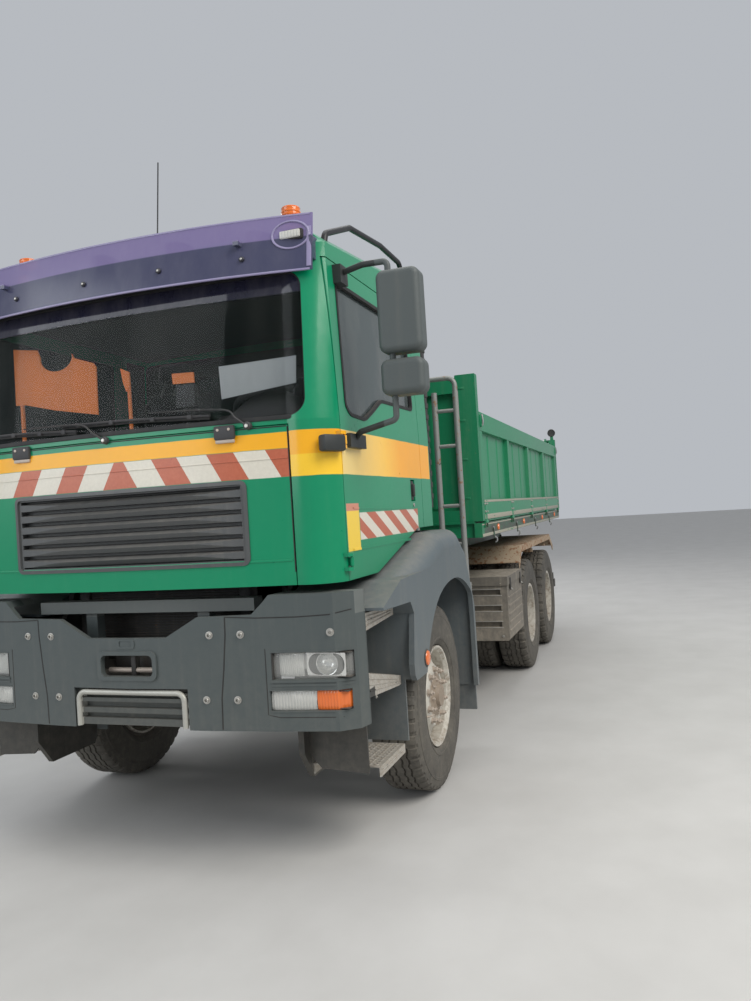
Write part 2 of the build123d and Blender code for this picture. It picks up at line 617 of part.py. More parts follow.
def mudguard():
    """One front mudguard: a crowned skin, an outer face with its arch, a front wall, a flap."""
    wall = AXLE_1 + GUARD_WALL_X
    foot = [(AXLE_1 + 1184, GUARD_NOSE_Z - GUARD_SKIN), (AXLE_1 + 748, 1218), (wall + 4, 1150),
            (wall + 56, 890), (wall + 48, 830), (wall + 20, 800), (wall, 800),
            (wall, GUARD_FOOT)]
    solid = side_plate(guard_outline(0) + foot, GUARD_INNER, GUARD_OUTER)
    solid = rounded_ridge(solid, GUARD_ROUND)
    inner_foot = [(AXLE_1 + 1060, GUARD_NOSE_Z), (AXLE_1 + 752, 1233), (wall - GUARD_SKIN, 1156),
                  (wall - GUARD_SKIN, 300), (AXLE_1 - 770 + GUARD_SKIN, 300)]
    hollow = side_plate(guard_outline(GUARD_SKIN) + inner_foot, GUARD_INNER - 10,
                        GUARD_OUTER - GUARD_WALL)
    guard = solid - rounded_ridge(hollow, GUARD_ROUND - GUARD_SKIN)
    guard -= arch_cut(GUARD_INNER - 20, GUARD_OUTER + 20)
    guard -= block(AXLE_1 + 400, wall + 80, STEP_OUT + 20, GUARD_OUTER + 20, 300, 800)
    guard -= block(wall, wall + 80, GUARD_INNER - 20, GUARD_OUTER - GUARD_WALL, 700, 1150)
    flap = block(AXLE_1 - 790, AXLE_1 - 770 + 1, 760, GUARD_OUTER - GUARD_WALL, 272, 1000)
    return guard + flap


def step_tread(x0, x1, y0, far, near, drop):
    """One hollow alloy step: a level tread with a deeper outer face that tapers to the rear."""
    face = [(x0, far), (x1, near), (x1, near - drop), (x0 + 40, far - 46), (x0, far - 46)]
    tread = side_plate(face, y0, STEP_OUT)
    inside = [(x0 - 9, far - 7), (x1 + 9, near - 7), (x1 + 9, near - drop - 60),
              (x0 - 9, near - drop - 60)]
    return tread - side_plate(inside, y0 + 7, STEP_OUT - 8)


def cab_steps():
    """Three steps on an upright side panel, with a dark bracket behind the bumper's end."""
    back = AXLE_1 + GUARD_WALL_X + STEP_GAP
    panel = side_plate([(STEP_FRONT, 1200), (STEP_FRONT, 540), (AXLE_1 + 1080, 400),
                        (AXLE_1 + 720, 400), (back, 440), (back, 1140), (AXLE_1 + 750, 1200)],
                       STEP_IN - 30, STEP_IN)
    steps = panel
    for x0, x1, y0, far, near, drop in (
            (AXLE_1 + 760, STEP_FRONT, STEP_IN - 1, 1200, 1222, 84),
            (back, STEP_FRONT, STEP_IN - 1, 824, 934, 112),
            (back, AXLE_1 + 1092, STEP_IN - 1, 462, 468, 52)):
        steps += step_tread(x0, x1, y0, far, near, drop)
    bracket = [(STEP_IN - 1, 860), (STEP_IN - 1, 520), (STEP_IN + 60, 455), (STEP_OUT - 50, 440),
               (STEP_OUT - 50, 860)]
    steps += front_plate(bracket, AXLE_1 + 1112, AXLE_1 + 1124)
    steps += block(STEP_FRONT - 12, STEP_FRONT, STEP_IN - 30, STEP_OUT - 8, 780, 1205)
    return steps


keep("front_mudguards", both(mudguard()))
keep("cab_steps", both(cab_steps()))


# Cab shell, doors and front panel
REAR_CORNER = 70.0
SCREEN_LOW = 2172.0
SCREEN_HIGH = 2870.0
SCREEN_HALF_WIDTH = CAB_HALF_WIDTH - 118.0
TOE_X = AXLE_1 + 1240.0
REAR_WINDOW = (-620.0, 620.0, 2260.0, 2760.0)


def cab_ring(height, inset, setback, lean, slope=0.0):
    """The cab's outline at one height: bowed front, rounded corners and straight sides."""
    def at(x, y):
        return (x, y, height + slope * (CAB_FRONT - x))

    front = CAB_FRONT - setback - inset
    half = CAB_HALF_WIDTH - lean - inset
    seam_x = front - CAB_CROWN
    seam_y = SEAM_Y - lean - inset * 0.5
    corner_x = CORNER_X - setback * 0.2 - inset * 0.4
    rear = CAB_REAR + inset
    round_mid = (corner_x + (seam_x - corner_x) * 0.72, seam_y + (half - seam_y) * 0.74)
    bend = REAR_CORNER * 0.29
    edges = [
        ThreePointArc(at(seam_x, -seam_y), at(front, 0), at(seam_x, seam_y)),
        ThreePointArc(at(seam_x, seam_y), at(*round_mid), at(corner_x, half)),
        Line(at(corner_x, half), at(rear + REAR_CORNER, half)),
        ThreePointArc(at(rear + REAR_CORNER, half), at(rear + bend, half - bend),
                      at(rear, half - REAR_CORNER)),
        Line(at(rear, half - REAR_CORNER), at(rear, REAR_CORNER - half)),
        ThreePointArc(at(rear, REAR_CORNER - half), at(rear + bend, bend - half),
                      at(rear + REAR_CORNER, -half)),
        Line(at(rear + REAR_CORNER, -half), at(corner_x, -half)),
        ThreePointArc(at(corner_x, -half), at(round_mid[0], -round_mid[1]),
                      at(seam_x, -seam_y)),
    ]
    return make_face(edges)


def cab_hull(inset, bottom, roof_inset):
    """The cab's whole form, drawn in by an inset: walls, leaning upper part and roof."""
    roof = EAVES_Z + ROOF_RISE - roof_inset
    lower = extrude(cab_ring(bottom, inset, 0, 0), amount=BELT_Z - bottom, dir=(0, 0, 1))
    upper = loft([cab_ring(BELT_Z, inset, 0, 0),
                  cab_ring(EAVES_Z, inset, WINDSCREEN_RAKE, SIDE_LEAN, ROOF_SLOPE)], ruled=True)
    cap = loft([cab_ring(EAVES_Z, inset, WINDSCREEN_RAKE, SIDE_LEAN, ROOF_SLOPE),
                cab_ring(roof, inset, WINDSCREEN_RAKE + ROOF_INSET, SIDE_LEAN + ROOF_INSET,
                         ROOF_SLOPE)], ruled=True)
    return lower + upper + cap


def door_outline(grow):
    """The door's outline in side view, grown outwards by the panel gap where asked."""
    return [(DOOR_FRONT + grow, CAB_BOTTOM - 30), (DOOR_FRONT + grow, DOOR_TOP + grow),
            (DOOR_REAR - grow, DOOR_TOP + grow), (DOOR_REAR - grow, CAB_BOTTOM_REAR - 30),
            (DOOR_RISE_X, CAB_BOTTOM_REAR - 30), (DOOR_STEP_X, CAB_BOTTOM - 30)]


def underside():
    """What is cut away below the cab: flat in front, rising over the wheel."""
    far = CAB_BOTTOM - 400
    return side_plate([(CAB_FRONT + 20, CAB_BOTTOM), (DOOR_STEP_X, CAB_BOTTOM),
                       (DOOR_RISE_X, CAB_BOTTOM_REAR), (CAB_REAR - 20, CAB_BOTTOM_REAR),
                       (CAB_REAR - 20, far), (CAB_FRONT + 20, far)],
                      -CAB_HALF_WIDTH - 20, CAB_HALF_WIDTH + 20)


def window_outline(shrink):
    """The door window in side view: deep at the front, stepping up to the rear."""
    front = DOOR_FRONT - DOOR_FRAME - shrink
    rear = DOOR_REAR + DOOR_FRAME + shrink
    return [(front, 2215 + shrink), (front - 60, 2175 + shrink), (AXLE_1 + 850, 2168 + shrink),
            (AXLE_1 + 560, 2296 + shrink), (rear, 2304 + shrink), (rear, 2840 - shrink),
            (front - 20, 2840 - shrink)]


def rounded_plate(outline, y0, y1, radius):
    """A side-view plate with every corner rounded."""
    plate = side_plate(outline, y0, y1)
    return fillet(plate.edges().filter_by(Axis.Y), radius)


def screen_cutter(grow):
    """The windscreen's opening, seen from the front."""
    half = SCREEN_HALF_WIDTH + grow
    plate = front_plate([(-half, SCREEN_LOW - grow), (half, SCREEN_LOW - grow),
                         (half - 20, SCREEN_HIGH + grow), (20 - half, SCREEN_HIGH + grow)],
                        AXLE_1 + 960, CAB_FRONT + 40)
    return fillet(plate.edges().filter_by(Axis.X), 80)


def cab_wall():
    """The walls and roof of the cab as one closed skin, before doors and panels are split."""
    skin = cab_hull(0, CAB_BOTTOM - 10, 0) - cab_hull(CAB_WALL, CAB_BOTTOM - 30, CAB_WALL)
    return skin - underside()


WALL = cab_wall()
HULL = cab_hull(0, CAB_BOTTOM - 10, 0)
PANEL_CUT = block(AXLE_1 + 1180, CAB_FRONT + 20, -SEAM_Y, SEAM_Y, CAB_BOTTOM - 20, BELT_Z - 20)
GRILLE_HALF_WIDTH = 672.0
GRILLE_LOW = 1490.0
GRILLE_HIGH = 1876.0


HINGE_X = DOOR_FRONT - 5.0
HINGE_Y = CAB_HALF_WIDTH + DOOR_HINGE_OUTSET
HINGE_HEIGHTS = (1470.0, 2048.0)
HINGE_PIN = 6.0
HINGE_BARREL = 11.0
HINGE_LENGTH = 40.0
LUG_HEIGHT = 16.0
LUG_GAP = 5.5


def door_hinge_lugs(z):
    """The pin of one door hinge and the two lugs that hold it on the corner panel."""
    y = HINGE_Y
    reach = HINGE_LENGTH / 2 + LUG_GAP
    lugs = rod(HINGE_X, y, z, HINGE_PIN, 2 * (reach + LUG_HEIGHT), "Z")
    for z0 in (z - reach - LUG_HEIGHT, z + reach):
        lugs += rod(HINGE_X, y, z0 + LUG_HEIGHT / 2, 10, LUG_HEIGHT, "Z")
        lugs += plan_plate([(HINGE_X, y - 10), (HINGE_X + 13, y - 10), (HINGE_X + 13, y - 26),
                            (HINGE_X + 42, y - 26), (HINGE_X + 42, y), (HINGE_X + 12, y + 10),
                            (HINGE_X, y + 10)], z0, z0 + LUG_HEIGHT)
    return lugs


def cab_shell():
    """Roof, pillars, corner panels, rear wall and floor, with every opening cut through."""
    shell = WALL
    for side in (1, -1):
        doorway = side_plate(door_outline(PANEL_GAP), side * (CAB_HALF_WIDTH - 240),
                             side * (CAB_HALF_WIDTH + 20))
        shell -= doorway
    shell -= block(AXLE_1 + 1180, CAB_FRONT + 20, -SEAM_Y - PANEL_GAP, SEAM_Y + PANEL_GAP,
                   CAB_BOTTOM - 20, BELT_Z - 20 + PANEL_GAP)
    shell -= screen_cutter(0)
    y0, y1, z0, z1 = REAR_WINDOW
    shell -= block(CAB_REAR - 10, CAB_REAR + CAB_WALL + 10, y0, y1, z0, z1)
    inner = CAB_HALF_WIDTH - CAB_WALL
    floor = block(CAB_REAR + CAB_WALL - 1, FLOOR_FRONT, 60 - inner, inner - 60,
                  FLOOR_TOP - FLOOR_THICKNESS, FLOOR_TOP)
    toe = side_plate([(FLOOR_FRONT - 1, FLOOR_TOP - FLOOR_THICKNESS),
                      (FLOOR_FRONT - 1, FLOOR_TOP), (TOE_X, 2000), (TOE_X, BELT_Z + 10),
                      (TOE_X + 28, BELT_Z + 10), (TOE_X + 28, 1995)], 90 - inner, inner - 90)
    shell += floor + toe
    for z in HINGE_HEIGHTS:
        lugs = door_hinge_lugs(z)
        shell += lugs + mirrored(lugs)
    return shell


def tilt_arms():
    """The two arms under the cab's floor that turn on the bumper bracket's pivot pins."""
    floor = FLOOR_TOP - FLOOR_THICKNESS
    elbow = (TILT_X - 225, TILT_Z + 255)
    foot = TILT_X - 360
    arm = side_plate([(TILT_X + 15, TILT_Z + 13), (elbow[0] + 17, elbow[1] + 11),
                      (foot + 40, floor), (foot - 40, floor), (elbow[0] - 17, elbow[1] - 11),
                      (TILT_X - 15, TILT_Z - 13)], TILT_ARM_Y, TILT_ARM_Y + 34)
    arm += block(foot - 70, foot + 70, TILT_ARM_Y - 14, TILT_ARM_Y + 48, floor - 12, floor)
    arm += rod(TILT_X, TILT_ARM_Y + 17, TILT_Z, 40, 34, "Y")
    return arm - rod(TILT_X, TILT_ARM_Y + 17, TILT_Z, TILT_PIN + PIN_CLEARANCE, 60, "Y")


def front_panel():
    """The lower front panel between the corner panels, with the grille's opening."""
    panel = WALL & PANEL_CUT
    hole = front_plate([(-GRILLE_HALF_WIDTH, GRILLE_LOW), (GRILLE_HALF_WIDTH, GRILLE_LOW),
                        (GRILLE_HALF_WIDTH, GRILLE_HIGH), (-GRILLE_HALF_WIDTH, GRILLE_HIGH)],
                       AXLE_1 + 1180, CAB_FRONT + 20)
    hole = fillet(hole.edges().filter_by(Axis.X), 30)
    panel -= hole
    core = cab_hull(CAB_WALL - 10, CAB_BOTTOM, 20)
    for side in (1, -1):
        panel += core & block(AXLE_1 + 1180, CAB_FRONT, side * 740, side * 800, 1700, 1740)
    return panel


def grille():
    """A frame with six fat louvres, set in the front panel."""
    gap = 3
    half = GRILLE_HALF_WIDTH - gap
    low = GRILLE_LOW + gap
    high = GRILLE_HIGH - gap
    count = 6
    back = AXLE_1 + 1300
    piece = block(back, CAB_FRONT - 14, -half, half, low, high)
    piece = fillet(piece.edges().filter_by(Axis.X), 27)
    piece -= block(back + 26, CAB_FRONT, 18 - half, half - 18, low + 14, high - 14)
    pitch = (high - low - 28) / count
    for number in range(count):
        z = low + 14 + pitch * number
        louvre = side_plate([(back + 20, z + 5), (CAB_FRONT - 30, z + 8),
                             (CAB_FRONT - 16, z + pitch * 0.5), (CAB_FRONT - 34, z + pitch - 16),
                             (back + 20, z + pitch - 8)], 17 - half, half - 17)
        piece += louvre
    bow = extrude(make_face([
        ThreePointArc((CAB_FRONT - CAB_CROWN, -SEAM_Y, low - 5), (CAB_FRONT - 6, 0, low - 5),
                      (CAB_FRONT - CAB_CROWN, SEAM_Y, low - 5)),
        Line((CAB_FRONT - CAB_CROWN, SEAM_Y, low - 5), (back - 10, SEAM_Y, low - 5)),
        Line((back - 10, SEAM_Y, low - 5), (back - 10, -SEAM_Y, low - 5)),
        Line((back - 10, -SEAM_Y, low - 5), (CAB_FRONT - CAB_CROWN, -SEAM_Y, low - 5))]),
        amount=high - low + 10, dir=(0, 0, 1))
    return piece & bow


def windscreen():
    """The laminated windscreen, seated inside its opening."""
    pane = cab_hull(14, BELT_Z - 60, 14) - cab_hull(14 + GLASS_THICKNESS + 2, BELT_Z - 80, 22)
    return pane & screen_cutter(-1)


def door(side):
    """A cab door: the wall's own thickness, split along its gaps, with its window cut."""
    leaf = WALL - rounded_plate(window_outline(0), CAB_HALF_WIDTH - 260, CAB_HALF_WIDTH + 30, 24)
    leaf &= side_plate(door_outline(0), CAB_HALF_WIDTH - 240, CAB_HALF_WIDTH + 20)
    leaf -= block(AXLE_1 + 20, AXLE_1 + 105, CAB_HALF_WIDTH - 26, CAB_HALF_WIDTH + 20, 1745, 1875)
    for z in HINGE_HEIGHTS:
        leaf += rod(HINGE_X, HINGE_Y, z, HINGE_BARREL, HINGE_LENGTH, "Z")
        leaf += block(HINGE_X - 28, HINGE_X, CAB_HALF_WIDTH - 2, HINGE_Y, z - HINGE_LENGTH / 2,
                      z + HINGE_LENGTH / 2)
        leaf -= rod(HINGE_X, HINGE_Y, z, HINGE_PIN + PIN_CLEARANCE, HINGE_LENGTH + 4, "Z")
    return on_side(leaf, side)


def door_glass(side):
    """The side window's pane, inside the door's frame."""
    pane = cab_hull(18, BELT_Z - 60, 18) - cab_hull(18 + GLASS_THICKNESS, BELT_Z - 80, 24)
    pane &= rounded_plate(window_outline(0.5), CAB_HALF_WIDTH - 260, CAB_HALF_WIDTH + 30, 24)
    return on_side(pane, side)


keep("cab_shell", cab_shell())
keep("tilt_arms", both(tilt_arms()))
keep("front_panel", front_panel())
keep("grille", grille())
keep("windscreen", windscreen())
for name, side in SIDES:
    keep(f"door_{name}", door(side))
    keep(f"door_glass_{name}", door_glass(side))


# Mirrors, visor, roof rails and air intake
MIRROR_Y0 = CAB_HALF_WIDTH + 200.0
MIRROR_Y1 = MIRROR_Y0 + 214.0
MIRROR_X = DOOR_FRONT - 88.0
MIRROR_DEPTH = 100.0
MAIN_MIRROR = (2440.0, 2835.0)
LOW_MIRROR = (2240.0, 2412.0)
ARM_RADIUS = 15.0
VISOR_BOTTOM = 2852.0
VISOR_DROP = 284.0
VISOR_HALF_WIDTH = CAB_HALF_WIDTH - 63.0
VISOR_FRONT = AXLE_1 + 1400.0
VISOR_SWEEP = 115.0
VISOR_THICKNESS = 8.0


def mirror_set(side):
    """A large and a small mirror housing on one bent arm, bracketed to the door."""
    x = MIRROR_X
    pieces = None
    for low, high in (MAIN_MIRROR, LOW_MIRROR):
        house = block(x - MIRROR_DEPTH / 2, x + MIRROR_DEPTH / 2, MIRROR_Y0, MIRROR_Y1, low, high)
        house = fillet(house.edges().filter_by(Axis.X), 40)
        house = fillet(house.faces().sort_by(Axis.X)[-1].edges(), 30)
        house -= block(x - MIRROR_DEPTH / 2 - 1, x - MIRROR_DEPTH / 2 + 6, MIRROR_Y0 + 14,
                       MIRROR_Y1 - 14, low + 14, high - 14)
        pieces = house if pieces is None else pieces + house
    arm_y = MIRROR_Y0 + 55
    top = MAIN_MIRROR[1]
    pieces += tube([(AXLE_1 + 1078, CAB_HALF_WIDTH - 10, top + 38), (x - 20, CAB_HALF_WIDTH + 122, top + 58),
                    (x, arm_y, top + 50), (x, arm_y, top - 20)], ARM_RADIUS, 28)
    pieces += rod(x, arm_y, (LOW_MIRROR[1] + MAIN_MIRROR[0]) / 2, ARM_RADIUS,
                  MAIN_MIRROR[0] - LOW_MIRROR[1] + 30, "Z")
    foot = LOW_MIRROR[0] - 110
    pieces += tube([(x, arm_y, LOW_MIRROR[0] + 20), (x, arm_y, foot),
                    (x - 20, CAB_HALF_WIDTH + 62, foot - 42),
                    (x - 60, CAB_HALF_WIDTH + 20, foot - 68)], ARM_RADIUS, 28)
    pieces += block(AXLE_1 + 1030, AXLE_1 + 1125, CAB_HALF_WIDTH - 40, CAB_HALF_WIDTH + 18,
                    top - 16, top + 74)
    pieces += block(AXLE_1 + 950, HINGE_X - 36, CAB_HALF_WIDTH, CAB_HALF_WIDTH + 34, 2015, 2082)
    return on_side(pieces - HULL, side)


def sun_visor():
    """The clear, bowed visor across the roof's front edge, with its end plates and stays."""
    rings = []
    for z, back in ((VISOR_BOTTOM, 0), (VISOR_BOTTOM + VISOR_DROP, 44)):
        x = VISOR_FRONT - back
        y = VISOR_HALF_WIDTH
        end = x - VISOR_SWEEP
        outline = [ThreePointArc((end, -y, z), (x, 0, z), (end, y, z)),
                   Line((end, y, z), (end - VISOR_THICKNESS, y, z)),
                   ThreePointArc((end - VISOR_THICKNESS, y, z), (x - VISOR_THICKNESS, 0, z),
                                 (end - VISOR_THICKNESS, -y, z)),
                   Line((end - VISOR_THICKNESS, -y, z), (end, -y, z))]
        rings.append(make_face(outline))
    visor = loft(rings, ruled=True)
    for side in (1, -1):
        for y in (250, 700):
            visor += block(AXLE_1 + 1150, AXLE_1 + 1360, side * y - 14, side * y + 14,
                           VISOR_BOTTOM + 150, VISOR_BOTTOM + 172)
        visor += block(AXLE_1 + 1100, AXLE_1 + 1270, side * (VISOR_HALF_WIDTH - 12),
                       side * (VISOR_HALF_WIDTH - 2), VISOR_BOTTOM + 60, VISOR_BOTTOM + 170)
    return visor - HULL


RAIL_TUBE_Y = CAB_HALF_WIDTH - 118.0
RAIL_TUBE_RADIUS = 17.0


def roof_rails():
    """A dark tube over the roof's edge, down to the roof at both ends."""
    run = [(AXLE_1 + 1010, RAIL_TUBE_Y, 2990), (AXLE_1 + 955, RAIL_TUBE_Y, 3130),
           (AXLE_1 + 590, RAIL_TUBE_Y, 3272), (AXLE_1 + 50, RAIL_TUBE_Y, 3330),
           (CAB_REAR + 60, RAIL_TUBE_Y, 3328), (CAB_REAR + 30, RAIL_TUBE_Y, 3100)]
    return tube(run, RAIL_TUBE_RADIUS, 60) - HULL


def antenna():
    """The whip antenna on its foot at the roof's front edge."""
    foot = (AXLE_1 + 1284, 214, EAVES_Z + 2)
    tip = (AXLE_1 + 1100, 135, 3610)
    whip = tube([foot, tip], 3.5, 0)
    whip += rod(foot[0], foot[1], foot[2] + 10, 15, 52, "Z")
    return whip - HULL


def air_intake():
    """The ribbed intake duct up the cab's rear left corner."""
    x = CAB_REAR - 62
    y = CAB_HALF_WIDTH - 100
    duct = block(x - 58, x + 58, y - 70, y + 70, 1700, 2860)
    duct = fillet(duct.edges().filter_by(Axis.Z), 40)
    for number in range(14):
        z = 1760 + number * 76
        collar = block(x - 61, x + 61, y - 76, y + 76, z, z + 34)
        duct += fillet(collar.edges().filter_by(Axis.Z), 42)
    return duct


LAMP_RISE = 190.0
LAMP_TOP = EAVES_Z + ROOF_RISE + LAMP_RISE
LAMP_Y = CAB_HALF_WIDTH - 280.0


def roof_lamps():
    """Two beacons on the roof's front corners and two clear markers behind the visor's ends."""
    lamps = rod(AXLE_1 + 1000, LAMP_Y, LAMP_TOP - 120, 48, 240, "Z")
    lamps += rod(AXLE_1 + 1000, LAMP_Y, LAMP_TOP - 170, 62, 140, "Z")
    lamps = both(lamps - HULL).solids()
    marker = block(AXLE_1 + 1110, AXLE_1 + 1216, LAMP_Y + 42, LAMP_Y + 147, EAVES_Z,
                   EAVES_Z + 51) - HULL
    return Compound(children=lamps + both(marker).solids())


keep("sun_visor", sun_visor())
keep("roof_rails", Compound(children=both(roof_rails()).solids() + antenna().solids()))
keep("air_intake", air_intake())
keep("roof_lamps", roof_lamps())
for name, side in SIDES:
    keep(f"mirrors_{name}", mirror_set(side))

# Cab inside
DASH_TOP = 2200.0
SEAT_Y = 560.0
SEAT_RISE = 370.0
SEAT_HEIGHT = FLOOR_TOP + SEAT_RISE
WHEEL_TILT = 28.0
STEER_PLACE = Pos(AXLE_1 + 735, SEAT_Y, DASH_TOP + 60) * Rot(0, -WHEEL_TILT, 0)


def dashboard():
    """The dashboard across the cab, with a raised binnacle before the driver."""
    front = TOE_X
    body = side_plate([(front, 2010), (front, DASH_TOP - 20), (front - 60, DASH_TOP),
                       (front - 330, DASH_TOP - 20), (front - 420, DASH_TOP - 110),
                       (front - 400, 1960), (front - 250, 1900), (front - 120, 1900)],
                      -960, 960)
    hood = side_plate([(front - 180, DASH_TOP - 20), (front - 300, DASH_TOP + 60),
                       (front - 400, DASH_TOP + 40), (front - 410, DASH_TOP - 100)],
                      SEAT_Y - 230, SEAT_Y + 230)
    column = STEER_PLACE * Pos(0, 0, -170) * Cylinder(36, 340)
    return body + hood - column


def seats():
    """Two suspension seats, each a base, a cushion and a backrest with a head pad."""
    x = AXLE_1 + 290
    base = block(x - 200, x + 200, SEAT_Y - 190, SEAT_Y + 190, FLOOR_TOP, SEAT_HEIGHT - 120)
    cushion = block(x - 250, x + 260, SEAT_Y - 260, SEAT_Y + 260, SEAT_HEIGHT - 121, SEAT_HEIGHT)
    cushion = fillet(cushion.edges(), 40)
    back = side_plate([(x - 250, SEAT_HEIGHT - 60), (x - 130, SEAT_HEIGHT - 60),
                       (x - 240, SEAT_HEIGHT + 640), (x - 270, SEAT_HEIGHT + 830),
                       (x - 340, SEAT_HEIGHT + 820), (x - 330, SEAT_HEIGHT + 600)],
                      SEAT_Y - 235, SEAT_Y + 235)
    back = fillet(back.edges().filter_by(Axis.Y), 24)
    return both(base + cushion + back)


def steering_wheel():
    """The rim, spokes and column of the steering wheel, leaning back from the dashboard."""
    wheel = STEER_PLACE * Torus(225, 16)
    wheel += STEER_PLACE * Pos(0, 0, -22) * Cylinder(62, 50)
    for angle in (90, 210, 330):
        spoke = Rot(0, 0, angle) * Pos(130, 0, -14) * Box(190, 36, 14)
        wheel += STEER_PLACE * spoke
    wheel += STEER_PLACE * Pos(0, 0, -170) * Cylinder(34, 300)
    return wheel


keep("dashboard", dashboard())
keep("seats", seats())
keep("steering_wheel", steering_wheel())


# Tipping body
GATE_GAP = 8.0
HINGE_Z = BED_FLOOR_TOP - 10.0
HINGE_LINE_Y = BED_HALF_WIDTH - 5.0
SIDE_BARREL = 56.0
SIDE_LUG = 18.0
SIDE_LUG_X = SIDE_BARREL / 2 + LUG_GAP + SIDE_LUG / 2
GATE_X0 = TAIL + 160.0
GATE_X1 = BED_FRONT - POST_DEPTH - GATE_GAP
RAIL_BAND = 140.0
SILL_BAND = 154.0
PANEL_THICKNESS = 22.0
STAKE_WIDTH = 95.0
STAKE_COUNT = 4
TAILGATE_PIN_Z = 2500.0
TAILGATE_X = TAIL + 30.0
TAILGATE_HALF_WIDTH = 1164.0
REAR_POST_WIDTH = 80.0
BEARER_PITCH = 430.0
CYLINDER_X = AXLE_2 + 520.0
CYLINDER_PIVOT_Z = 820.0
EYE_Z = 1500.0


def side_hinges():
    """The places of the drop side's hinges along the body."""
    span = GATE_X1 - GATE_X0 - STAKE_WIDTH
    return [GATE_X0 + STAKE_WIDTH / 2 + span * number / STAKE_COUNT
            for number in range(STAKE_COUNT + 1)]


def hinge_rods(radius, length, offsets):
    """Rods on the left side's hinge line, at each hinge, shifted along it by the offsets."""
    rods = []
    for x in side_hinges():
        for offset in offsets:
            rods += rod(x + offset, HINGE_LINE_Y, HINGE_Z, radius, length, "X").solids()
    return rods


def bed_floor():
    """The load floor on its cross bearers, edge sills and two long beams with hinge eyes."""
    front = BED_FRONT - 2
    rear = TAIL + 68
    width = BED_HALF_WIDTH - SIDE_THICKNESS - 6
    floor = block(rear, front, -width, width, BED_FLOOR_BOTTOM, BED_FLOOR_TOP)
    bearer_low = BED_FLOOR_BOTTOM - BEARER_HEIGHT
    beam_low = bearer_low - BEAM_HEIGHT
    for side in (1, -1):
        floor += block(rear, front, side * (width - 6), side * (BED_HALF_WIDTH - 12), bearer_low,
                       BED_FLOOR_BOTTOM + 1)
        beam = block(TIP_X - 60, front - 120, side * (BEAM_Y - 38), side * (BEAM_Y + 38), beam_low,
                     bearer_low + 1)
        floor += beam + rod(TIP_X, side * BEAM_Y, TIP_Z, 48, 76, "Y")
        floor -= rod(TIP_X, side * BEAM_Y, TIP_Z, TIP_PIN_RADIUS + PIN_CLEARANCE, 90, "Y")
    count = int((front - rear - 120) // BEARER_PITCH)
    for number in range(count + 1):
        x = rear + 60 + (front - rear - 120) * number / count
        floor += block(x - 35, x + 35, -width, width, bearer_low, BED_FLOOR_BOTTOM + 1)
    pockets = hinge_rods(19, SIDE_BARREL + 10, (0,))
    lugs = hinge_rods(12, SIDE_LUG, (-SIDE_LUG_X, SIDE_LUG_X))
    pins = hinge_rods(HINGE_PIN, 2 * SIDE_LUG_X, (0,))
    for side in (1, -1):
        floor -= [on_side(piece, side) for piece in pockets]
        floor += [on_side(piece, side) for piece in lugs + pins]
    return floor


def headboard():
    """The tall front wall: a ribbed sheet between two corner posts, with a capping."""
    back = BED_FRONT - POST_DEPTH
    inner = BED_HALF_WIDTH - POST_WIDTH
    low = BED_FLOOR_TOP
    wall = block(back, back + PANEL_THICKNESS, -inner, inner, low, HEADBOARD_TOP - 20)
    for side in (1, -1):
        wall += block(back, BED_FRONT, side * inner, side * BED_HALF_WIDTH, low, HEADBOARD_TOP)
    wall += block(back, BED_FRONT - 10, -inner, inner, HEADBOARD_TOP - 130, HEADBOARD_TOP - 20)
    for y in (-700, -350, 0, 350, 700):
        wall += block(back + 10, back + 62, y - 40, y + 40, low, HEADBOARD_TOP - 125)
    wall += block(back, BED_FRONT - 14, -inner, inner, low, low + 90)
    return wall


def rear_posts():
    """The posts at the body's tail, each with the pin that the tailgate hangs from."""
    y0 = BED_HALF_WIDTH - REAR_POST_WIDTH
    post = block(TAIL + 70, GATE_X0 - GATE_GAP, y0, BED_HALF_WIDTH, BED_FLOOR_TOP,
                 TAILGATE_PIN_Z + 10)
    post += side_plate([(TAIL - 10, TAILGATE_PIN_Z - 40), (TAIL + 60, TAILGATE_PIN_Z - 60),
                        (TAIL + 80, TAILGATE_PIN_Z - 90), (TAIL + 120, TAILGATE_PIN_Z + 9),
                        (TAIL + 60, TAILGATE_PIN_Z + 45), (TAIL - 10, TAILGATE_PIN_Z + 40)],
                       y0 + 20, y0 + 50)
    post += rod(TAILGATE_X, y0 - 20, TAILGATE_PIN_Z, 20, 90, "Y")
    return post + mirrored(post)


def drop_side():
    """A drop side: top rail, sill box, upright stakes and a recessed panel, with hinge lugs."""
    outer = BED_HALF_WIDTH
    inner = BED_HALF_WIDTH - SIDE_THICKNESS
    low = HINGE_Z + 4
    side = block(GATE_X0, GATE_X1, inner, inner + PANEL_THICKNESS, low, SIDE_TOP)
    side += block(GATE_X0, GATE_X1, inner, outer, SIDE_TOP - RAIL_BAND, SIDE_TOP)
    side += block(GATE_X0, GATE_X1, inner, outer, low + 16, low + 16 + SILL_BAND)
    side += block(GATE_X0, GATE_X1, inner + 10, outer - 12, low, low + 20)
    span = GATE_X1 - GATE_X0 - STAKE_WIDTH
    for number in range(STAKE_COUNT + 1):
        x = GATE_X0 + STAKE_WIDTH / 2 + span * number / STAKE_COUNT
        side += block(x - STAKE_WIDTH / 2, x + STAKE_WIDTH / 2, inner, outer - 4, low, SIDE_TOP - 1)
    side += hinge_rods(13, SIDE_BARREL, (0,))
    side -= hinge_rods(HINGE_PIN + PIN_CLEARANCE, SIDE_BARREL + 4, (0,))
    side -= hinge_rods(18, SIDE_LUG + 10, (-SIDE_LUG_X, SIDE_LUG_X))
    return side


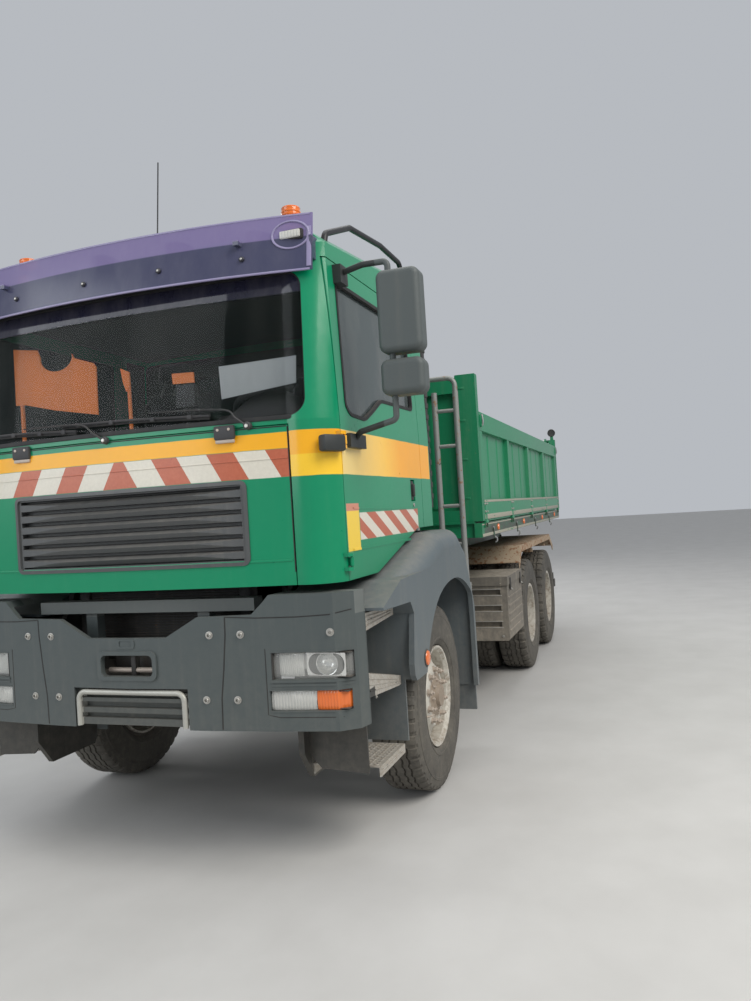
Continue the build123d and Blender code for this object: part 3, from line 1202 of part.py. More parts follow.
def tailgate():
    """The tailgate: a ribbed panel with two arms that hang it from the posts' pins."""
    x0 = TAIL
    x1 = TAIL + 60
    half = TAILGATE_HALF_WIDTH
    low = BED_FLOOR_BOTTOM + 6
    gate = block(x1 - PANEL_THICKNESS, x1, -half, half, low, SIDE_TOP)
    gate += block(x0, x1, -half, half, SIDE_TOP - 110, SIDE_TOP)
    gate += block(x0, x1, -half, half, low, low + 120)
    for y in (-1, -0.5, 0, 0.5, 1):
        centre = y * (half - 45)
        gate += block(x0 + 3, x1, centre - 45, centre + 45, low, SIDE_TOP)
    for side in (1, -1):
        y = side * (half - 46)
        arm = block(x0 + 6, x1 - 6, y - 12, y + 12, SIDE_TOP - 2, TAILGATE_PIN_Z)
        arm += rod(TAILGATE_X, y, TAILGATE_PIN_Z, 40, 24, "Y")
        arm -= rod(TAILGATE_X, y, TAILGATE_PIN_Z, 20.5, 60, "Y")
        gate += arm
    return gate


keep("bed_floor", bed_floor() + rear_posts())
keep("headboard", headboard())
for name, side in SIDES:
    keep(f"drop_side_{name}", on_side(drop_side(), side))
keep("tailgate", tailgate())

# Tipping cylinder: a trunnion barrel and four nested stages
STAGE_COUNT = 4
STAGE_STEP = 15.0
BARREL_RADIUS = 106.0
BARREL_BOTTOM = 700.0
BARREL_TOP = 1392.0
STAGE_GAP = 3.0
TRUNNION_RADIUS = 36.0


def barrel():
    """The cylinder's barrel, closed below, with a trunnion pin at each side."""
    height = BARREL_TOP - BARREL_BOTTOM
    piece = rod(CYLINDER_X, 0, BARREL_BOTTOM + height / 2, BARREL_RADIUS, height, "Z")
    piece -= rod(CYLINDER_X, 0, BARREL_BOTTOM + height / 2 + 20, BARREL_RADIUS - 9, height, "Z")
    for side in (1, -1):
        piece += rod(CYLINDER_X, side * (BARREL_RADIUS + 40), CYLINDER_PIVOT_Z, TRUNNION_RADIUS,
                     90, "Y")
    return piece


def stage(number):
    """One telescopic stage; the last is solid and carries the eye."""
    radius = BARREL_RADIUS - 9 - STAGE_GAP - (number - 1) * STAGE_STEP
    low = BARREL_BOTTOM + 24 + 3 * number
    high = BARREL_TOP + 14 * number
    piece = rod(CYLINDER_X, 0, (low + high) / 2, radius, high - low, "Z")
    if number < STAGE_COUNT:
        piece -= rod(CYLINDER_X, 0, (low + high) / 2, radius - STAGE_STEP + STAGE_GAP,
                     high - low + 2, "Z")
        return piece
    piece += rod(CYLINDER_X, 0, EYE_Z, 42, 78, "Y")
    piece += rod(CYLINDER_X, 0, (high + EYE_Z) / 2, 34, EYE_Z - high + 2, "Z")
    return piece


def cradle():
    """The bearing blocks on the rails that the barrel's trunnions turn in."""
    y0 = BARREL_RADIUS + 20
    y1 = RAIL_HALF_WIDTH - RAIL_WALL
    arm = block(CYLINDER_X - 70, CYLINDER_X + 70, y0, y1, CYLINDER_PIVOT_Z - 70,
                CYLINDER_PIVOT_Z + 70)
    arm -= rod(CYLINDER_X, 0, CYLINDER_PIVOT_Z, TRUNNION_RADIUS + 0.5, 2 * (y0 + 80), "Y")
    arm -= block(CYLINDER_X - 80, CYLINDER_X + 80, RAIL_HALF_WIDTH - RAIL_FLANGE, y1 + 10,
                 CYLINDER_PIVOT_Z - 80, RAIL_BOTTOM + RAIL_WALL)
    return arm + mirrored(arm)


keep("frame", FRAME + cradle())
keep("tip_barrel", barrel())
for number in range(1, STAGE_COUNT + 1):
    keep(f"tip_stage_{number}", stage(number))

# Tanks, boxes, rear mudguards and the frame behind the cab
BOX_LENGTH = 780.0
BOX_TYRE_GAP = 68.0
BOX_X0 = AXLE_2 + TYRE_RADIUS + BOX_TYRE_GAP
BOX_X1 = BOX_X0 + BOX_LENGTH
BOX_OUTER = 1245.0
BOX_INNER = 640.0
BOX_BOTTOM = 500.0
BOX_TOP = 1052.0
TANK_TYRE_GAP = 288.0
TANK_X0 = AXLE_2 + TYRE_RADIUS + TANK_TYRE_GAP
TANK_X1 = AXLE_1 - 1150.0
TANK_RADIUS = 90.0
FENDER_TOP = 1272.0
FENDER_OUTER = 1236.0
FENDER_INNER = 640.0
RACK_BOX_INNER = 420.0
RACK_BOX_OUTER = 780.0


def side_bracket(x, side, low, high, reach):
    """A bracket from the rail's web out to a side-mounted tank or box."""
    return block(x - 30, x + 30, side * RAIL_HALF_WIDTH, side * reach, low, high)


def battery_box():
    """The left box behind the front wheel, with a ribbed lid edge and stepped front face."""
    box = block(BOX_X0, BOX_X1, BOX_INNER, BOX_OUTER, BOX_BOTTOM, BOX_TOP)
    box = fillet(box.edges().filter_by(Axis.X), 18)
    box += block(BOX_X0 - 12, BOX_X1 + 12, BOX_INNER - 8, BOX_OUTER + 8, BOX_TOP - 70, BOX_TOP + 6)
    for z in (620, 760, 900):
        box -= block(BOX_X1 - 34, BOX_X1 + 5, BOX_INNER + 70, BOX_OUTER - 60, z, z + 46)
    for x in (BOX_X0 + 120, BOX_X1 - 120):
        box += side_bracket(x, 1, RAIL_BOTTOM + 30, RAIL_BOTTOM + 110, BOX_INNER + 5)
    return box


def fuel_tank():
    """The right-hand tank with well-rounded corners, two straps and a filler neck."""
    tank = block(TANK_X0, TANK_X1, -BOX_OUTER, -BOX_INNER, BOX_BOTTOM, BOX_TOP + 40)
    tank = fillet(tank.edges().filter_by(Axis.X), TANK_RADIUS)
    for x in (TANK_X0 + 300, TANK_X1 - 300):
        strap = block(x - 32, x + 32, -BOX_OUTER - 6, -BOX_INNER + 6, BOX_BOTTOM - 6,
                      BOX_TOP + 46)
        tank += fillet(strap.edges().filter_by(Axis.X), TANK_RADIUS + 6)
        tank += side_bracket(x, -1, RAIL_BOTTOM + 30, RAIL_BOTTOM + 110, BOX_INNER + 5)
    tank += rod(TANK_X1 - 130, -BOX_OUTER + 150, BOX_TOP + 60, 52, 60, "Z")
    return tank


def air_tanks():
    """Two air reservoirs slung outside the left rail behind the front wheel."""
    x0 = BOX_X1 + 220
    x1 = AXLE_1 - 1080
    tanks = rod((x0 + x1) / 2, 560, 900, 118, x1 - x0, "X")
    tanks += rod((x0 + x1) / 2, 830, 900, 118, x1 - x0, "X")
    for x in (x0 + 160, x1 - 160):
        tanks += side_bracket(x, 1, 1010, 1040, 900)
        tanks += block(x - 30, x + 30, 540, 580, 1000, 1030)
        tanks += block(x - 30, x + 30, 810, 850, 1000, 1030)
    return tanks


def rear_mudguards():
    """Flat-topped steel mudguards over the tandem wheels, with brackets to the rails."""
    top = [(AXLE_2 + 590, 1120), (AXLE_2 + 420, FENDER_TOP), (AXLE_3 - 380, FENDER_TOP),
           (AXLE_3 - 660, 1120)]
    skin = top + [(x, z - 8) for x, z in reversed(top)]
    guard = side_plate(skin, FENDER_INNER, FENDER_OUTER)
    lip = top + [(x, z - 64) for x, z in reversed(top)]
    guard += side_plate(lip, FENDER_OUTER - 8, FENDER_OUTER)
    for x in (AXLE_2 + 400, (AXLE_2 + AXLE_3) / 2, AXLE_3 - 360):
        guard += block(x - 25, x + 25, RAIL_HALF_WIDTH, FENDER_OUTER - 60, 1130, 1166)
        for y in (FENDER_INNER + 30, FENDER_OUTER - 110):
            guard += block(x - 25, x + 25, y, y + 40, 1160, FENDER_TOP - 7)
        guard += block(x - 25, x + 25, RAIL_HALF_WIDTH, RAIL_HALF_WIDTH + 24, RAIL_TOP - 100, 1166)
    return both(guard)


def rear_bar():
    """The rear underrun bar on two drops, with a lamp box at each end."""
    x = RAIL_REAR - 200
    bar = block(x - 50, x + 50, -1150, 1150, 520, 620)
    for side in (1, -1):
        drop = side_plate([(x - 30, 560), (x + 60, 560), (RAIL_REAR + 120, 860),
                           (RAIL_REAR + 120, RAIL_TOP - 70), (RAIL_REAR, RAIL_TOP - 70),
                           (x - 30, 700)], side * RAIL_HALF_WIDTH, side * (RAIL_HALF_WIDTH + 24))
        bar += drop
        bar += block(x - 78, x - 49, side * 760, side * 1130, 530, 700)
    return bar


def cab_rack():
    """The upright pipes, rungs and hoop behind the cab's left corner, on a cross member."""
    x = AXLE_1 - 1010
    rack = block(x - 60, x + 60, -RAIL_HALF_WIDTH - 40, 1190, RAIL_TOP, RAIL_TOP + 62)
    for y in (1010, 1170):
        rack += rod(x, y, (RAIL_TOP + 60 + 2540) / 2, 21, 2540 - RAIL_TOP - 60, "Z")
    for z in (1420, 1700, 2140, 2400):
        rack += rod(x, 1090, z, 14, 164, "Y")
    rack += tube([(x, 1170, 2535), (x, 1170, 2640), (x, 820, 2640), (x, 820, RAIL_TOP + 55)],
                 18, 60)
    rack += block(x - 150, x + 40, RACK_BOX_INNER, RACK_BOX_OUTER, RAIL_TOP + 61, 1480)
    return rack


keep("battery_box", battery_box())
keep("fuel_tank", fuel_tank())
keep("air_tanks", air_tanks())
keep("rear_mudguards", rear_mudguards())
keep("rear_bar", rear_bar())
keep("cab_rack", cab_rack())

os.makedirs("parts", exist_ok=True)
for name, shape in PARTS.items():
    export_step(shape, f"parts/{name}.step")
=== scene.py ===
import json
import math

import bmesh
import bpy
from mathutils import Matrix, Vector


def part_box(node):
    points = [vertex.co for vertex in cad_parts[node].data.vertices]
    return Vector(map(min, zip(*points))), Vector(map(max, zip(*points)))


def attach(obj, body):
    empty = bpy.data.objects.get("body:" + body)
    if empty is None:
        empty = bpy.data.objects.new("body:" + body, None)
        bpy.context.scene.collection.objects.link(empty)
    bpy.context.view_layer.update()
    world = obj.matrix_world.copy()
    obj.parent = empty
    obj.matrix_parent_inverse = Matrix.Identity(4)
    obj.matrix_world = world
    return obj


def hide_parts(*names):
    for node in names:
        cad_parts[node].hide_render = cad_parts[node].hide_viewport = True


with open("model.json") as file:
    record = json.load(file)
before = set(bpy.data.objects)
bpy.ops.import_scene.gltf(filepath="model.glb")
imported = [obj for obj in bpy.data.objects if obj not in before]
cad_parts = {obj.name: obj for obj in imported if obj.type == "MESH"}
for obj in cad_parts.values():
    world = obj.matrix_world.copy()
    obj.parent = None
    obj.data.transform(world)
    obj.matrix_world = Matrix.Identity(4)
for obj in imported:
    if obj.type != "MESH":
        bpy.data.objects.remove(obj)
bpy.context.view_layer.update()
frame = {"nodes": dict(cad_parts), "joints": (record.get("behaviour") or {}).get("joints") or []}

SCENE = bpy.context.scene

# Places in metres, from the frame where it holds them
PIVOTS = {joint["name"]: joint["pos_m"] for joint in frame["joints"] if "pos_m" in joint}
AXLE_1, FRONT_WHEEL_Y, WHEEL_Z = PIVOTS["front_wheel_left_spin"]
AXLE_2, TWIN_WHEEL_Y, _ = PIVOTS["middle_wheel_left_spin"]
AXLE_3 = PIVOTS["rear_wheel_left_spin"][0]
HINGE_Z = PIVOTS["side_left_drop"][2]
CAB_HALF = 1.118         # half the cab's width at its belt
BELT_Z = 2.15            # above it the cab's walls lean in
PANEL_HALF = 0.903       # half the front panel's width
SCREEN_LOW = 2.172       # the windscreen's lower edge
SEAT_Y = 0.560           # the middle of a seat and of the steering column
RAIL_LINE_Y = 0.398      # the pipes along the chassis rails
BED_FACE_Y = 1.2535      # the outer face of the body's sides
SAME = 1e-6              # vertices nearer than this are one
SIDES = (1, -1)
HANDS = (("left", 1), ("right", -1))


# Node-tree helpers: every material is built from these
class Tree:
    """A node tree with short calls for the nodes that the materials use."""

    def __init__(self, tree):
        self.tree = tree
        self.nodes = tree.nodes
        self.links = tree.links

    def put(self, socket, value):
        """Links a socket, or sets its value."""
        if isinstance(value, bpy.types.NodeSocket):
            self.links.new(value, socket)
        elif isinstance(value, (tuple, list)) and len(value) == 3 and socket.type == "RGBA":
            socket.default_value = (*value, 1.0)
        else:
            socket.default_value = value

    def math(self, kind, a, b=0.0, c=0.0, clamp=False):
        """A sum of up to three values."""
        node = self.nodes.new("ShaderNodeMath")
        node.operation = kind
        node.use_clamp = clamp
        for socket, value in zip(node.inputs, (a, b, c)):
            self.put(socket, value)
        return node.outputs[0]

    def span(self, value, low, high, to_low=0.0, to_high=1.0, smooth=False):
        """Maps low to high on to another range, 0 to 1 unless given."""
        node = self.nodes.new("ShaderNodeMapRange")
        node.interpolation_type = "SMOOTHSTEP" if smooth else "LINEAR"
        for name, given in (("Value", value), ("From Min", low), ("From Max", high),
                            ("To Min", to_low), ("To Max", to_high)):
            self.put(node.inputs[name], given)
        return node.outputs[0]

    def mix(self, amount, a, b, blend="MIX"):
        """Blends two colours."""
        node = self.nodes.new("ShaderNodeMix")
        node.data_type = "RGBA"
        node.blend_type = blend
        node.clamp_factor = True
        self.put(node.inputs[0], amount)
        self.put(node.inputs[6], a)
        self.put(node.inputs[7], b)
        return node.outputs[2]

    def place(self):
        """The Object coordinate and its X, Y and Z."""
        coords = self.nodes.new("ShaderNodeTexCoord")
        split = self.nodes.new("ShaderNodeSeparateXYZ")
        self.links.new(coords.outputs["Object"], split.inputs[0])
        return coords.outputs["Object"], split.outputs[0], split.outputs[1], split.outputs[2]

    def scaled(self, vector, scale):
        """A vector multiplied part by part."""
        node = self.nodes.new("ShaderNodeVectorMath")
        node.operation = "MULTIPLY"
        self.put(node.inputs[0], vector)
        node.inputs[1].default_value = scale
        return node.outputs[0]

    def noise(self, vector, scale, detail=3.0, rough=0.55, distort=0.0):
        """Noise from 0 to 1."""
        node = self.nodes.new("ShaderNodeTexNoise")
        self.put(node.inputs["Vector"], vector)
        node.inputs["Scale"].default_value = scale
        node.inputs["Detail"].default_value = detail
        node.inputs["Roughness"].default_value = rough
        node.inputs["Distortion"].default_value = distort
        return node.outputs["Fac"]

    def voronoi(self, vector, scale, feature="F1"):
        """The distance to the nearest cell's point."""
        node = self.nodes.new("ShaderNodeTexVoronoi")
        node.feature = feature
        self.put(node.inputs["Vector"], vector)
        node.inputs["Scale"].default_value = scale
        return node.outputs["Distance"]

    def band(self, value, low, high, soft=0.0015):
        """1 between two values, 0 outside, with a soft edge."""
        up = self.span(value, low - soft, low + soft)
        down = self.span(value, high - soft, high + soft, 1.0, 0.0)
        return self.math("MULTIPLY", up, down)

    def times(self, *masks):
        """Where all the masks are."""
        total = masks[0]
        for mask in masks[1:]:
            total = self.math("MULTIPLY", total, mask)
        return total

    def either(self, *masks):
        """Where any of the masks is."""
        total = masks[0]
        for mask in masks[1:]:
            total = self.math("MAXIMUM", total, mask)
        return total

    def up(self):
        """How far the surface faces up, from -1 to 1."""
        node = self.nodes.new("ShaderNodeNewGeometry")
        split = self.nodes.new("ShaderNodeSeparateXYZ")
        self.links.new(node.outputs["Normal"], split.inputs[0])
        return split.outputs[2]


def group(name, inputs, outputs, build):
    """A shared node group; build(tree, inputs) returns its outputs in order."""
    tree = bpy.data.node_groups.new(name, "ShaderNodeTree")
    for label, kind, value in inputs:
        socket = tree.interface.new_socket(label, in_out="INPUT", socket_type=kind)
        socket.default_value = value
    for label, kind in outputs:
        tree.interface.new_socket(label, in_out="OUTPUT", socket_type=kind)
    start = tree.nodes.new("NodeGroupInput")
    end = tree.nodes.new("NodeGroupOutput")
    t = Tree(tree)
    results = build(t, {s.name: s for s in start.outputs if s.name})
    for (label, _), result in zip(outputs, results):
        tree.links.new(result, end.inputs[label])
    return tree


COLOR, FLOAT = "NodeSocketColor", "NodeSocketFloat"


def build_weather(t, given):
    """Fading, streaks, dust on tops and near the ground, and rust spots over a colour."""
    vector, _, _, z = t.place()
    broad = t.noise(vector, 1.7, 5.0, 0.6)
    fine = t.noise(vector, 23.0, 6.0, 0.7)
    grain = t.noise(vector, 210.0, 2.0, 0.5)
    streak = t.noise(t.scaled(vector, (17.0, 17.0, 1.1)), 1.0, 5.0, 0.62, 0.3)
    tone = t.math("ADD", t.math("MULTIPLY", t.math("SUBTRACT", broad, 0.5), 0.36),
                  t.math("MULTIPLY", t.math("SUBTRACT", fine, 0.5), 0.16))
    shade = t.mix(t.math("ADD", 0.5, tone, clamp=True), (0.72, 0.74, 0.76), (1.22, 1.2, 1.17))
    noise_varied = t.mix(1.0, given["Color"], shade, "MULTIPLY")
    top = t.span(t.up(), 0.35, 0.95, smooth=True)
    low = t.span(z, 0.25, 1.55, 1.0, 0.0, smooth=True)
    runs = t.span(streak, 0.46, 0.78, smooth=True)
    patch = t.span(fine, 0.34, 0.74)
    settle = t.math("ADD", t.math("MULTIPLY", top, 0.62), t.math("MULTIPLY", low, 0.55))
    settle = t.math("ADD", settle, t.math("MULTIPLY", runs, 0.34))
    settle = t.math("MULTIPLY", settle, t.math("ADD", 0.45, t.math("MULTIPLY", patch, 0.8)))
    dust = t.math("MULTIPLY", settle, given["Dust"], clamp=True)
    color = t.mix(dust, noise_varied, given["Dust Color"])
    spots = t.math("SUBTRACT", fine, t.math("SUBTRACT", 1.0, given["Rust"]))
    spots = t.span(t.math("ADD", spots, t.math("MULTIPLY", broad, 0.25)), 0.0, 0.05)
    rust_color = t.mix(grain, (0.16, 0.07, 0.03), (0.36, 0.19, 0.10))
    color = t.mix(spots, color, rust_color)
    gloss = t.math("ADD", given["Roughness"], t.math("MULTIPLY", dust, 0.42))
    gloss = t.math("ADD", gloss, t.math("MULTIPLY", t.math("SUBTRACT", fine, 0.5), 0.14))
    gloss = t.math("MAXIMUM", t.math("MINIMUM", gloss, 0.97), t.math("MULTIPLY", spots, 0.85))
    height = t.math("ADD", t.math("MULTIPLY", fine, 0.5), t.math("MULTIPLY", grain, 0.3))
    height = t.math("ADD", height, t.math("MULTIPLY", spots, 0.5))
    return color, gloss, height


WEATHER = group("weather", [
    ("Color", COLOR, (0.5, 0.5, 0.5, 1.0)), ("Dust Color", COLOR, (0.47, 0.41, 0.33, 1.0)),
    ("Dust", FLOAT, 0.4), ("Rust", FLOAT, 0.0), ("Roughness", FLOAT, 0.45),
], [("Color", COLOR), ("Roughness", FLOAT), ("Height", FLOAT)], build_weather)


def coat_material(name, color, dust=0.4, rust=0.0, rough=0.45, metallic=0.0, coat=0.0,
                  bump=0.15, dust_color=(0.47, 0.41, 0.33), paint=None, relief=None, ior=1.5,
                  sheen=0.0, size=0.002, gloss=0.5):
    """A weathered surface; paint(t, color) may change the colour by place, relief adds bump."""
    material = bpy.data.materials.new(name)
    material.use_nodes = True
    t = Tree(material.node_tree)
    shader = t.nodes["Principled BSDF"]
    weather = t.nodes.new("ShaderNodeGroup")
    weather.node_tree = WEATHER
    base = paint(t, color) if paint else color
    for label, value in (("Color", base), ("Dust Color", dust_color), ("Dust", dust),
                         ("Rust", rust), ("Roughness", rough)):
        t.put(weather.inputs[label], value)
    t.links.new(weather.outputs["Color"], shader.inputs["Base Color"])
    t.links.new(weather.outputs["Roughness"], shader.inputs["Roughness"])
    height = weather.outputs["Height"]
    if relief:
        height = t.math("ADD", t.math("MULTIPLY", height, 0.35), relief(t))
    ridge = t.nodes.new("ShaderNodeBump")
    ridge.inputs["Strength"].default_value = bump
    ridge.inputs["Distance"].default_value = size
    t.links.new(height, ridge.inputs["Height"])
    t.links.new(ridge.outputs[0], shader.inputs["Normal"])
    shader.inputs["Metallic"].default_value = metallic
    shader.inputs["IOR"].default_value = ior
    shader.inputs["Coat Weight"].default_value = coat
    shader.inputs["Specular IOR Level"].default_value = gloss
    shader.inputs["Coat Roughness"].default_value = 0.12
    shader.inputs["Sheen Weight"].default_value = sheen
    material.diffuse_color = (*color, 1.0)
    return material


def clear_material(name, color, alpha, rough=0.05, transmission=0.0, tint=None, gloss=0.5,
                   film_share=0.35):
    """Glass or a tinted clear plastic, a little dusty; tint(t) gives colour and alpha by place."""
    material = bpy.data.materials.new(name)
    material.use_nodes = True
    t = Tree(material.node_tree)
    shader = t.nodes["Principled BSDF"]
    vector, *_ = t.place()
    film = t.span(t.noise(t.scaled(vector, (5.0, 5.0, 2.0)), 1.0, 6.0, 0.65), 0.42, 0.8)
    base, solid = tint(t) if tint else (color, alpha)
    t.put(shader.inputs["Base Color"], t.mix(t.math("MULTIPLY", film, film_share), base,
                                             (0.5, 0.47, 0.42)))
    t.put(shader.inputs["Roughness"], t.math("ADD", rough, t.math("MULTIPLY", film, 0.08)))
    t.put(shader.inputs["Alpha"], t.math("ADD", solid, t.math("MULTIPLY", film, 0.06),
                                         clamp=True))
    shader.inputs["Specular IOR Level"].default_value = gloss
    shader.inputs["IOR"].default_value = 1.5
    shader.inputs["Transmission Weight"].default_value = transmission
    material.diffuse_color = (*color, alpha)
    return material


def screen_tint(t):
    """The windscreen: a dark band along its top, clear and dark green below."""
    *_, z = t.place()
    band = t.span(z, 2.764, 2.772)
    return t.mix(band, (0.016, 0.024, 0.022), (0.020, 0.020, 0.038)), t.span(z, 2.764, 2.772,
                                                                         0.14, 0.95)


def bumper_parts(t, color):
    """The bumper's grey, with the beam behind it paler."""
    _, x, _, z = t.place()
    beam = t.times(t.span(x, AXLE_1 + 1.281, AXLE_1 + 1.279), t.span(z, 1.234, 1.236))
    return t.mix(beam, color, (0.135, 0.150, 0.145))


def visor_painted_sky_and_shade(t):
    """The visor: pale purple from painted sky light above the roof, dark from painted shade where the
    roof and brackets stand behind.
    """
    *_, z = t.place()
    above = t.span(z, 3.017, 3.023)
    # Painted light: pale where sky stands behind, painted shade where the roof and brackets do
    return t.mix(above, (0.052, 0.055, 0.110), (0.205, 0.165, 0.340)), t.span(z, 3.017, 3.023,
                                                                          0.93, 0.80)


# Paint patterns by place on the truck
def smooth_edge(t, value, at, soft=0.0015):
    """0 below a value and 1 above it, with a soft edge."""
    return t.span(value, at - soft, at + soft)


def build_livery(t, given):
    """The cab's yellow band, with a painted highlight on its lower corner band and painted reflection
    making it paler towards the front; the red and white chevrons across its front; and the door's
    strip.
    """
    vector, x, y, z = t.place()
    side = t.math("ABSOLUTE", y)
    wear_and_reflection_noise = t.noise(vector, 60.0, 4.0, 0.7)
    wobble = t.math("MULTIPLY", t.math("SUBTRACT", t.noise(vector, 9.0, 2.0), 0.5), 0.004)
    zw = t.math("ADD", z, wobble)
    ahead = smooth_edge(t, x, AXLE_1 + 1.215)
    front = t.times(ahead, t.span(side, PANEL_HALF, PANEL_HALF + 0.003, 1.0, 0.0))
    beside = t.math("SUBTRACT", 1.0, front)
    yellow = t.either(t.times(t.band(zw, 2.022, 2.098), front),
                      t.times(t.band(zw, 1.886, 2.100), beside, t.span(side, 0.8, 0.81),
                              smooth_edge(t, x, AXLE_1 - 0.345)))
    lean = t.math("MULTIPLY", t.math("SUBTRACT", 1.98, z), 0.55)
    turn = t.math("ADD", t.math("SUBTRACT", side, lean), 0.09 + 3.0)
    red_bar = t.math("LESS_THAN", t.math("MODULO", turn, 0.30), 0.14)
    chevrons = t.times(t.band(zw, 1.888, 2.020), front)
    slope = t.math("SUBTRACT", x, t.math("MULTIPLY", z, 2.1))
    door_bar = t.math("LESS_THAN", t.math("MODULO", t.math("ADD", slope, 10.0), 0.280), 0.140)
    outside = t.span(side, 1.0, 1.01)
    strip = t.times(t.band(zw, 1.563, 1.698), t.band(x, AXLE_1 - 0.015, AXLE_1 + 1.02), outside)
    label = t.times(t.band(z, 1.515, 1.745), t.band(x, AXLE_1 + 1.025, AXLE_1 + 1.195),
                    t.span(y, 1.0, 1.01))
    # Painted highlight: at the front corner the yellow's lower band is brighter, standing for the
    # sun's reflection
    yellow_with_painted_light = t.mix(t.band(z, 1.886, 1.988), (0.93, 0.44, 0.012), (0.97, 0.60, 0.035))
    # Painted reflection: along the sides the yellow grows paler towards the front, its edge wobbled by
    # noise
    noise_varied = t.math("ADD", x, t.math("MULTIPLY", wear_and_reflection_noise, 0.16))
    graded_colour = t.mix(t.span(noise_varied, AXLE_1 + 0.36, AXLE_1 + 0.64), (0.95, 0.41, 0.010),
                 (0.97, 0.56, 0.060))
    graded_colour = t.mix(t.span(noise_varied, AXLE_1 + 0.62, AXLE_1 + 1.20), graded_colour, (0.90, 0.66, 0.22))
    yellow_with_painted_light = t.mix(t.span(x, AXLE_1 + 1.202, AXLE_1 + 1.206, 1.0, 0.0), yellow_with_painted_light, graded_colour)
    color = t.mix(yellow, given["Color"], yellow_with_painted_light)
    white = t.mix(wear_and_reflection_noise, (0.62, 0.58, 0.49), (0.80, 0.76, 0.66))
    red = t.mix(wear_and_reflection_noise, (0.42, 0.095, 0.045), (0.56, 0.16, 0.085))
    color = t.mix(chevrons, color, t.mix(red_bar, white, red))
    color = t.mix(strip, color, t.mix(door_bar, white, red))
    plain = t.mix(t.span(z, 1.708, 1.710), (0.90, 0.62, 0.055), (0.62, 0.25, 0.16))
    color = t.mix(label, color, plain)
    return (color,)


LIVERY = group("livery", [("Color", COLOR, (0.01, 0.35, 0.2, 1.0))], [("Color", COLOR)],
               build_livery)


def cab_paint(t, color):
    """The cab's paint with its livery."""
    node = t.nodes.new("ShaderNodeGroup")
    node.node_tree = LIVERY
    t.put(node.inputs["Color"], color)
    return node.outputs["Color"]


def mirror_parts(t, color):
    """The mirror's grey shells on their dark arms."""
    _, _, y, _ = t.place()
    return t.mix(t.span(t.math("ABSOLUTE", y), 1.312, 1.308), color, (0.026, 0.030, 0.030))


def scraped(amount, under=(0.30, 0.17, 0.09)):
    """Paint that has scraped through to rusty steel in long marks and along low edges."""
    def paint(t, color):
        vector, *_ = t.place()
        marks = t.noise(t.scaled(vector, (1.6, 9.0, 14.0)), 1.6, 6.0, 0.7, 0.6)
        chips = t.noise(vector, 31.0, 5.0, 0.75)
        both = t.math("ADD", t.math("MULTIPLY", marks, 0.65), t.math("MULTIPLY", chips, 0.35))
        mask = t.span(both, 0.68 - amount * 0.12, 0.70 - amount * 0.12)
        return t.mix(mask, color, under)
    return paint


def grimy_edge(t, color):
    """The body's paint: its frame edge under the sides is dark with road dirt."""
    vector, x, _, z = t.place()
    low = t.times(t.span(z, 1.556, 1.552), t.span(x, 1.176, 1.174))
    dirt = t.span(t.noise(t.scaled(vector, (3.0, 9.0, 16.0)), 1.5, 5.0, 0.7), 0.30, 0.56)
    share = t.times(low, t.math("ADD", 0.35, t.math("MULTIPLY", dirt, 0.6)))
    return t.mix(share, scraped(0.28)(t, color), (0.045, 0.048, 0.036))


def faded_side(t, color):
    """The drop side's paint: paler and dustier towards the rear, scraped at its ribs."""
    _, x, *_ = t.place()
    pale = t.span(x, 1.2, -3.6, smooth=True)
    fade = t.mix(t.math("MULTIPLY", pale, 0.42), color, (0.13, 0.34, 0.22))
    return scraped(0.35)(t, fade)


def mud(t, color):
    """Tyre rubber with dust in bands towards the tread and pale scuffs on the wall."""
    vector, *_ = t.place()
    scuff = t.span(t.noise(vector, 38.0, 6.0, 0.7), 0.52, 0.72)
    broad = t.span(t.noise(vector, 4.0, 4.0, 0.6), 0.36, 0.72)
    tone = t.math("MULTIPLY", t.math("ADD", scuff, broad), 0.36)
    return t.mix(tone, color, (0.20, 0.185, 0.155))


def rusty_hub(t, color):
    """Rim paint that gives way to rust and grease at the hub and round the nuts."""
    vector, x, _, z = t.place()
    near = t.math("ABSOLUTE", t.math("SUBTRACT", x, AXLE_1))
    for axle in (AXLE_2, AXLE_3):
        near = t.math("MINIMUM", near, t.math("ABSOLUTE", t.math("SUBTRACT", x, axle)))
    drop = t.math("SUBTRACT", z, WHEEL_Z)
    radius = t.math("SQRT", t.math("ADD", t.math("MULTIPLY", near, near),
                                   t.math("MULTIPLY", drop, drop)))
    patchy = t.noise(vector, 26.0, 5.0, 0.7)
    edge = t.math("ADD", radius, t.math("MULTIPLY", t.math("SUBTRACT", patchy, 0.5), 0.09))
    hub = t.span(edge, 0.125, 0.150, 1.0, 0.0)
    rust = t.mix(patchy, (0.10, 0.055, 0.03), (0.34, 0.25, 0.17))
    graded_colour = t.mix(t.math("MULTIPLY", hub, 0.85), color, rust)
    flange = t.math("MULTIPLY", t.span(edge, 0.262, 0.285), t.span(patchy, 0.42, 0.62))
    return t.mix(t.math("MULTIPLY", flange, 0.7), graded_colour, (0.20, 0.14, 0.09))


def weave_relief(scale):
    """The relief of woven cloth."""
    def relief(t):
        _, x, y, z = t.place()
        wave = t.math("MULTIPLY", t.math("SINE", t.math("MULTIPLY", x, scale)),
                      t.math("SINE", t.math("MULTIPLY", y, scale)))
        down = t.math("SINE", t.math("MULTIPLY", z, scale))
        return t.math("MULTIPLY", t.math("ADD", wave, down), 0.5)
    return relief


def grain_relief(scale):
    """The relief of grained plastic, rubber or lining."""
    def relief(t):
        vector, *_ = t.place()
        return t.voronoi(vector, scale)
    return relief


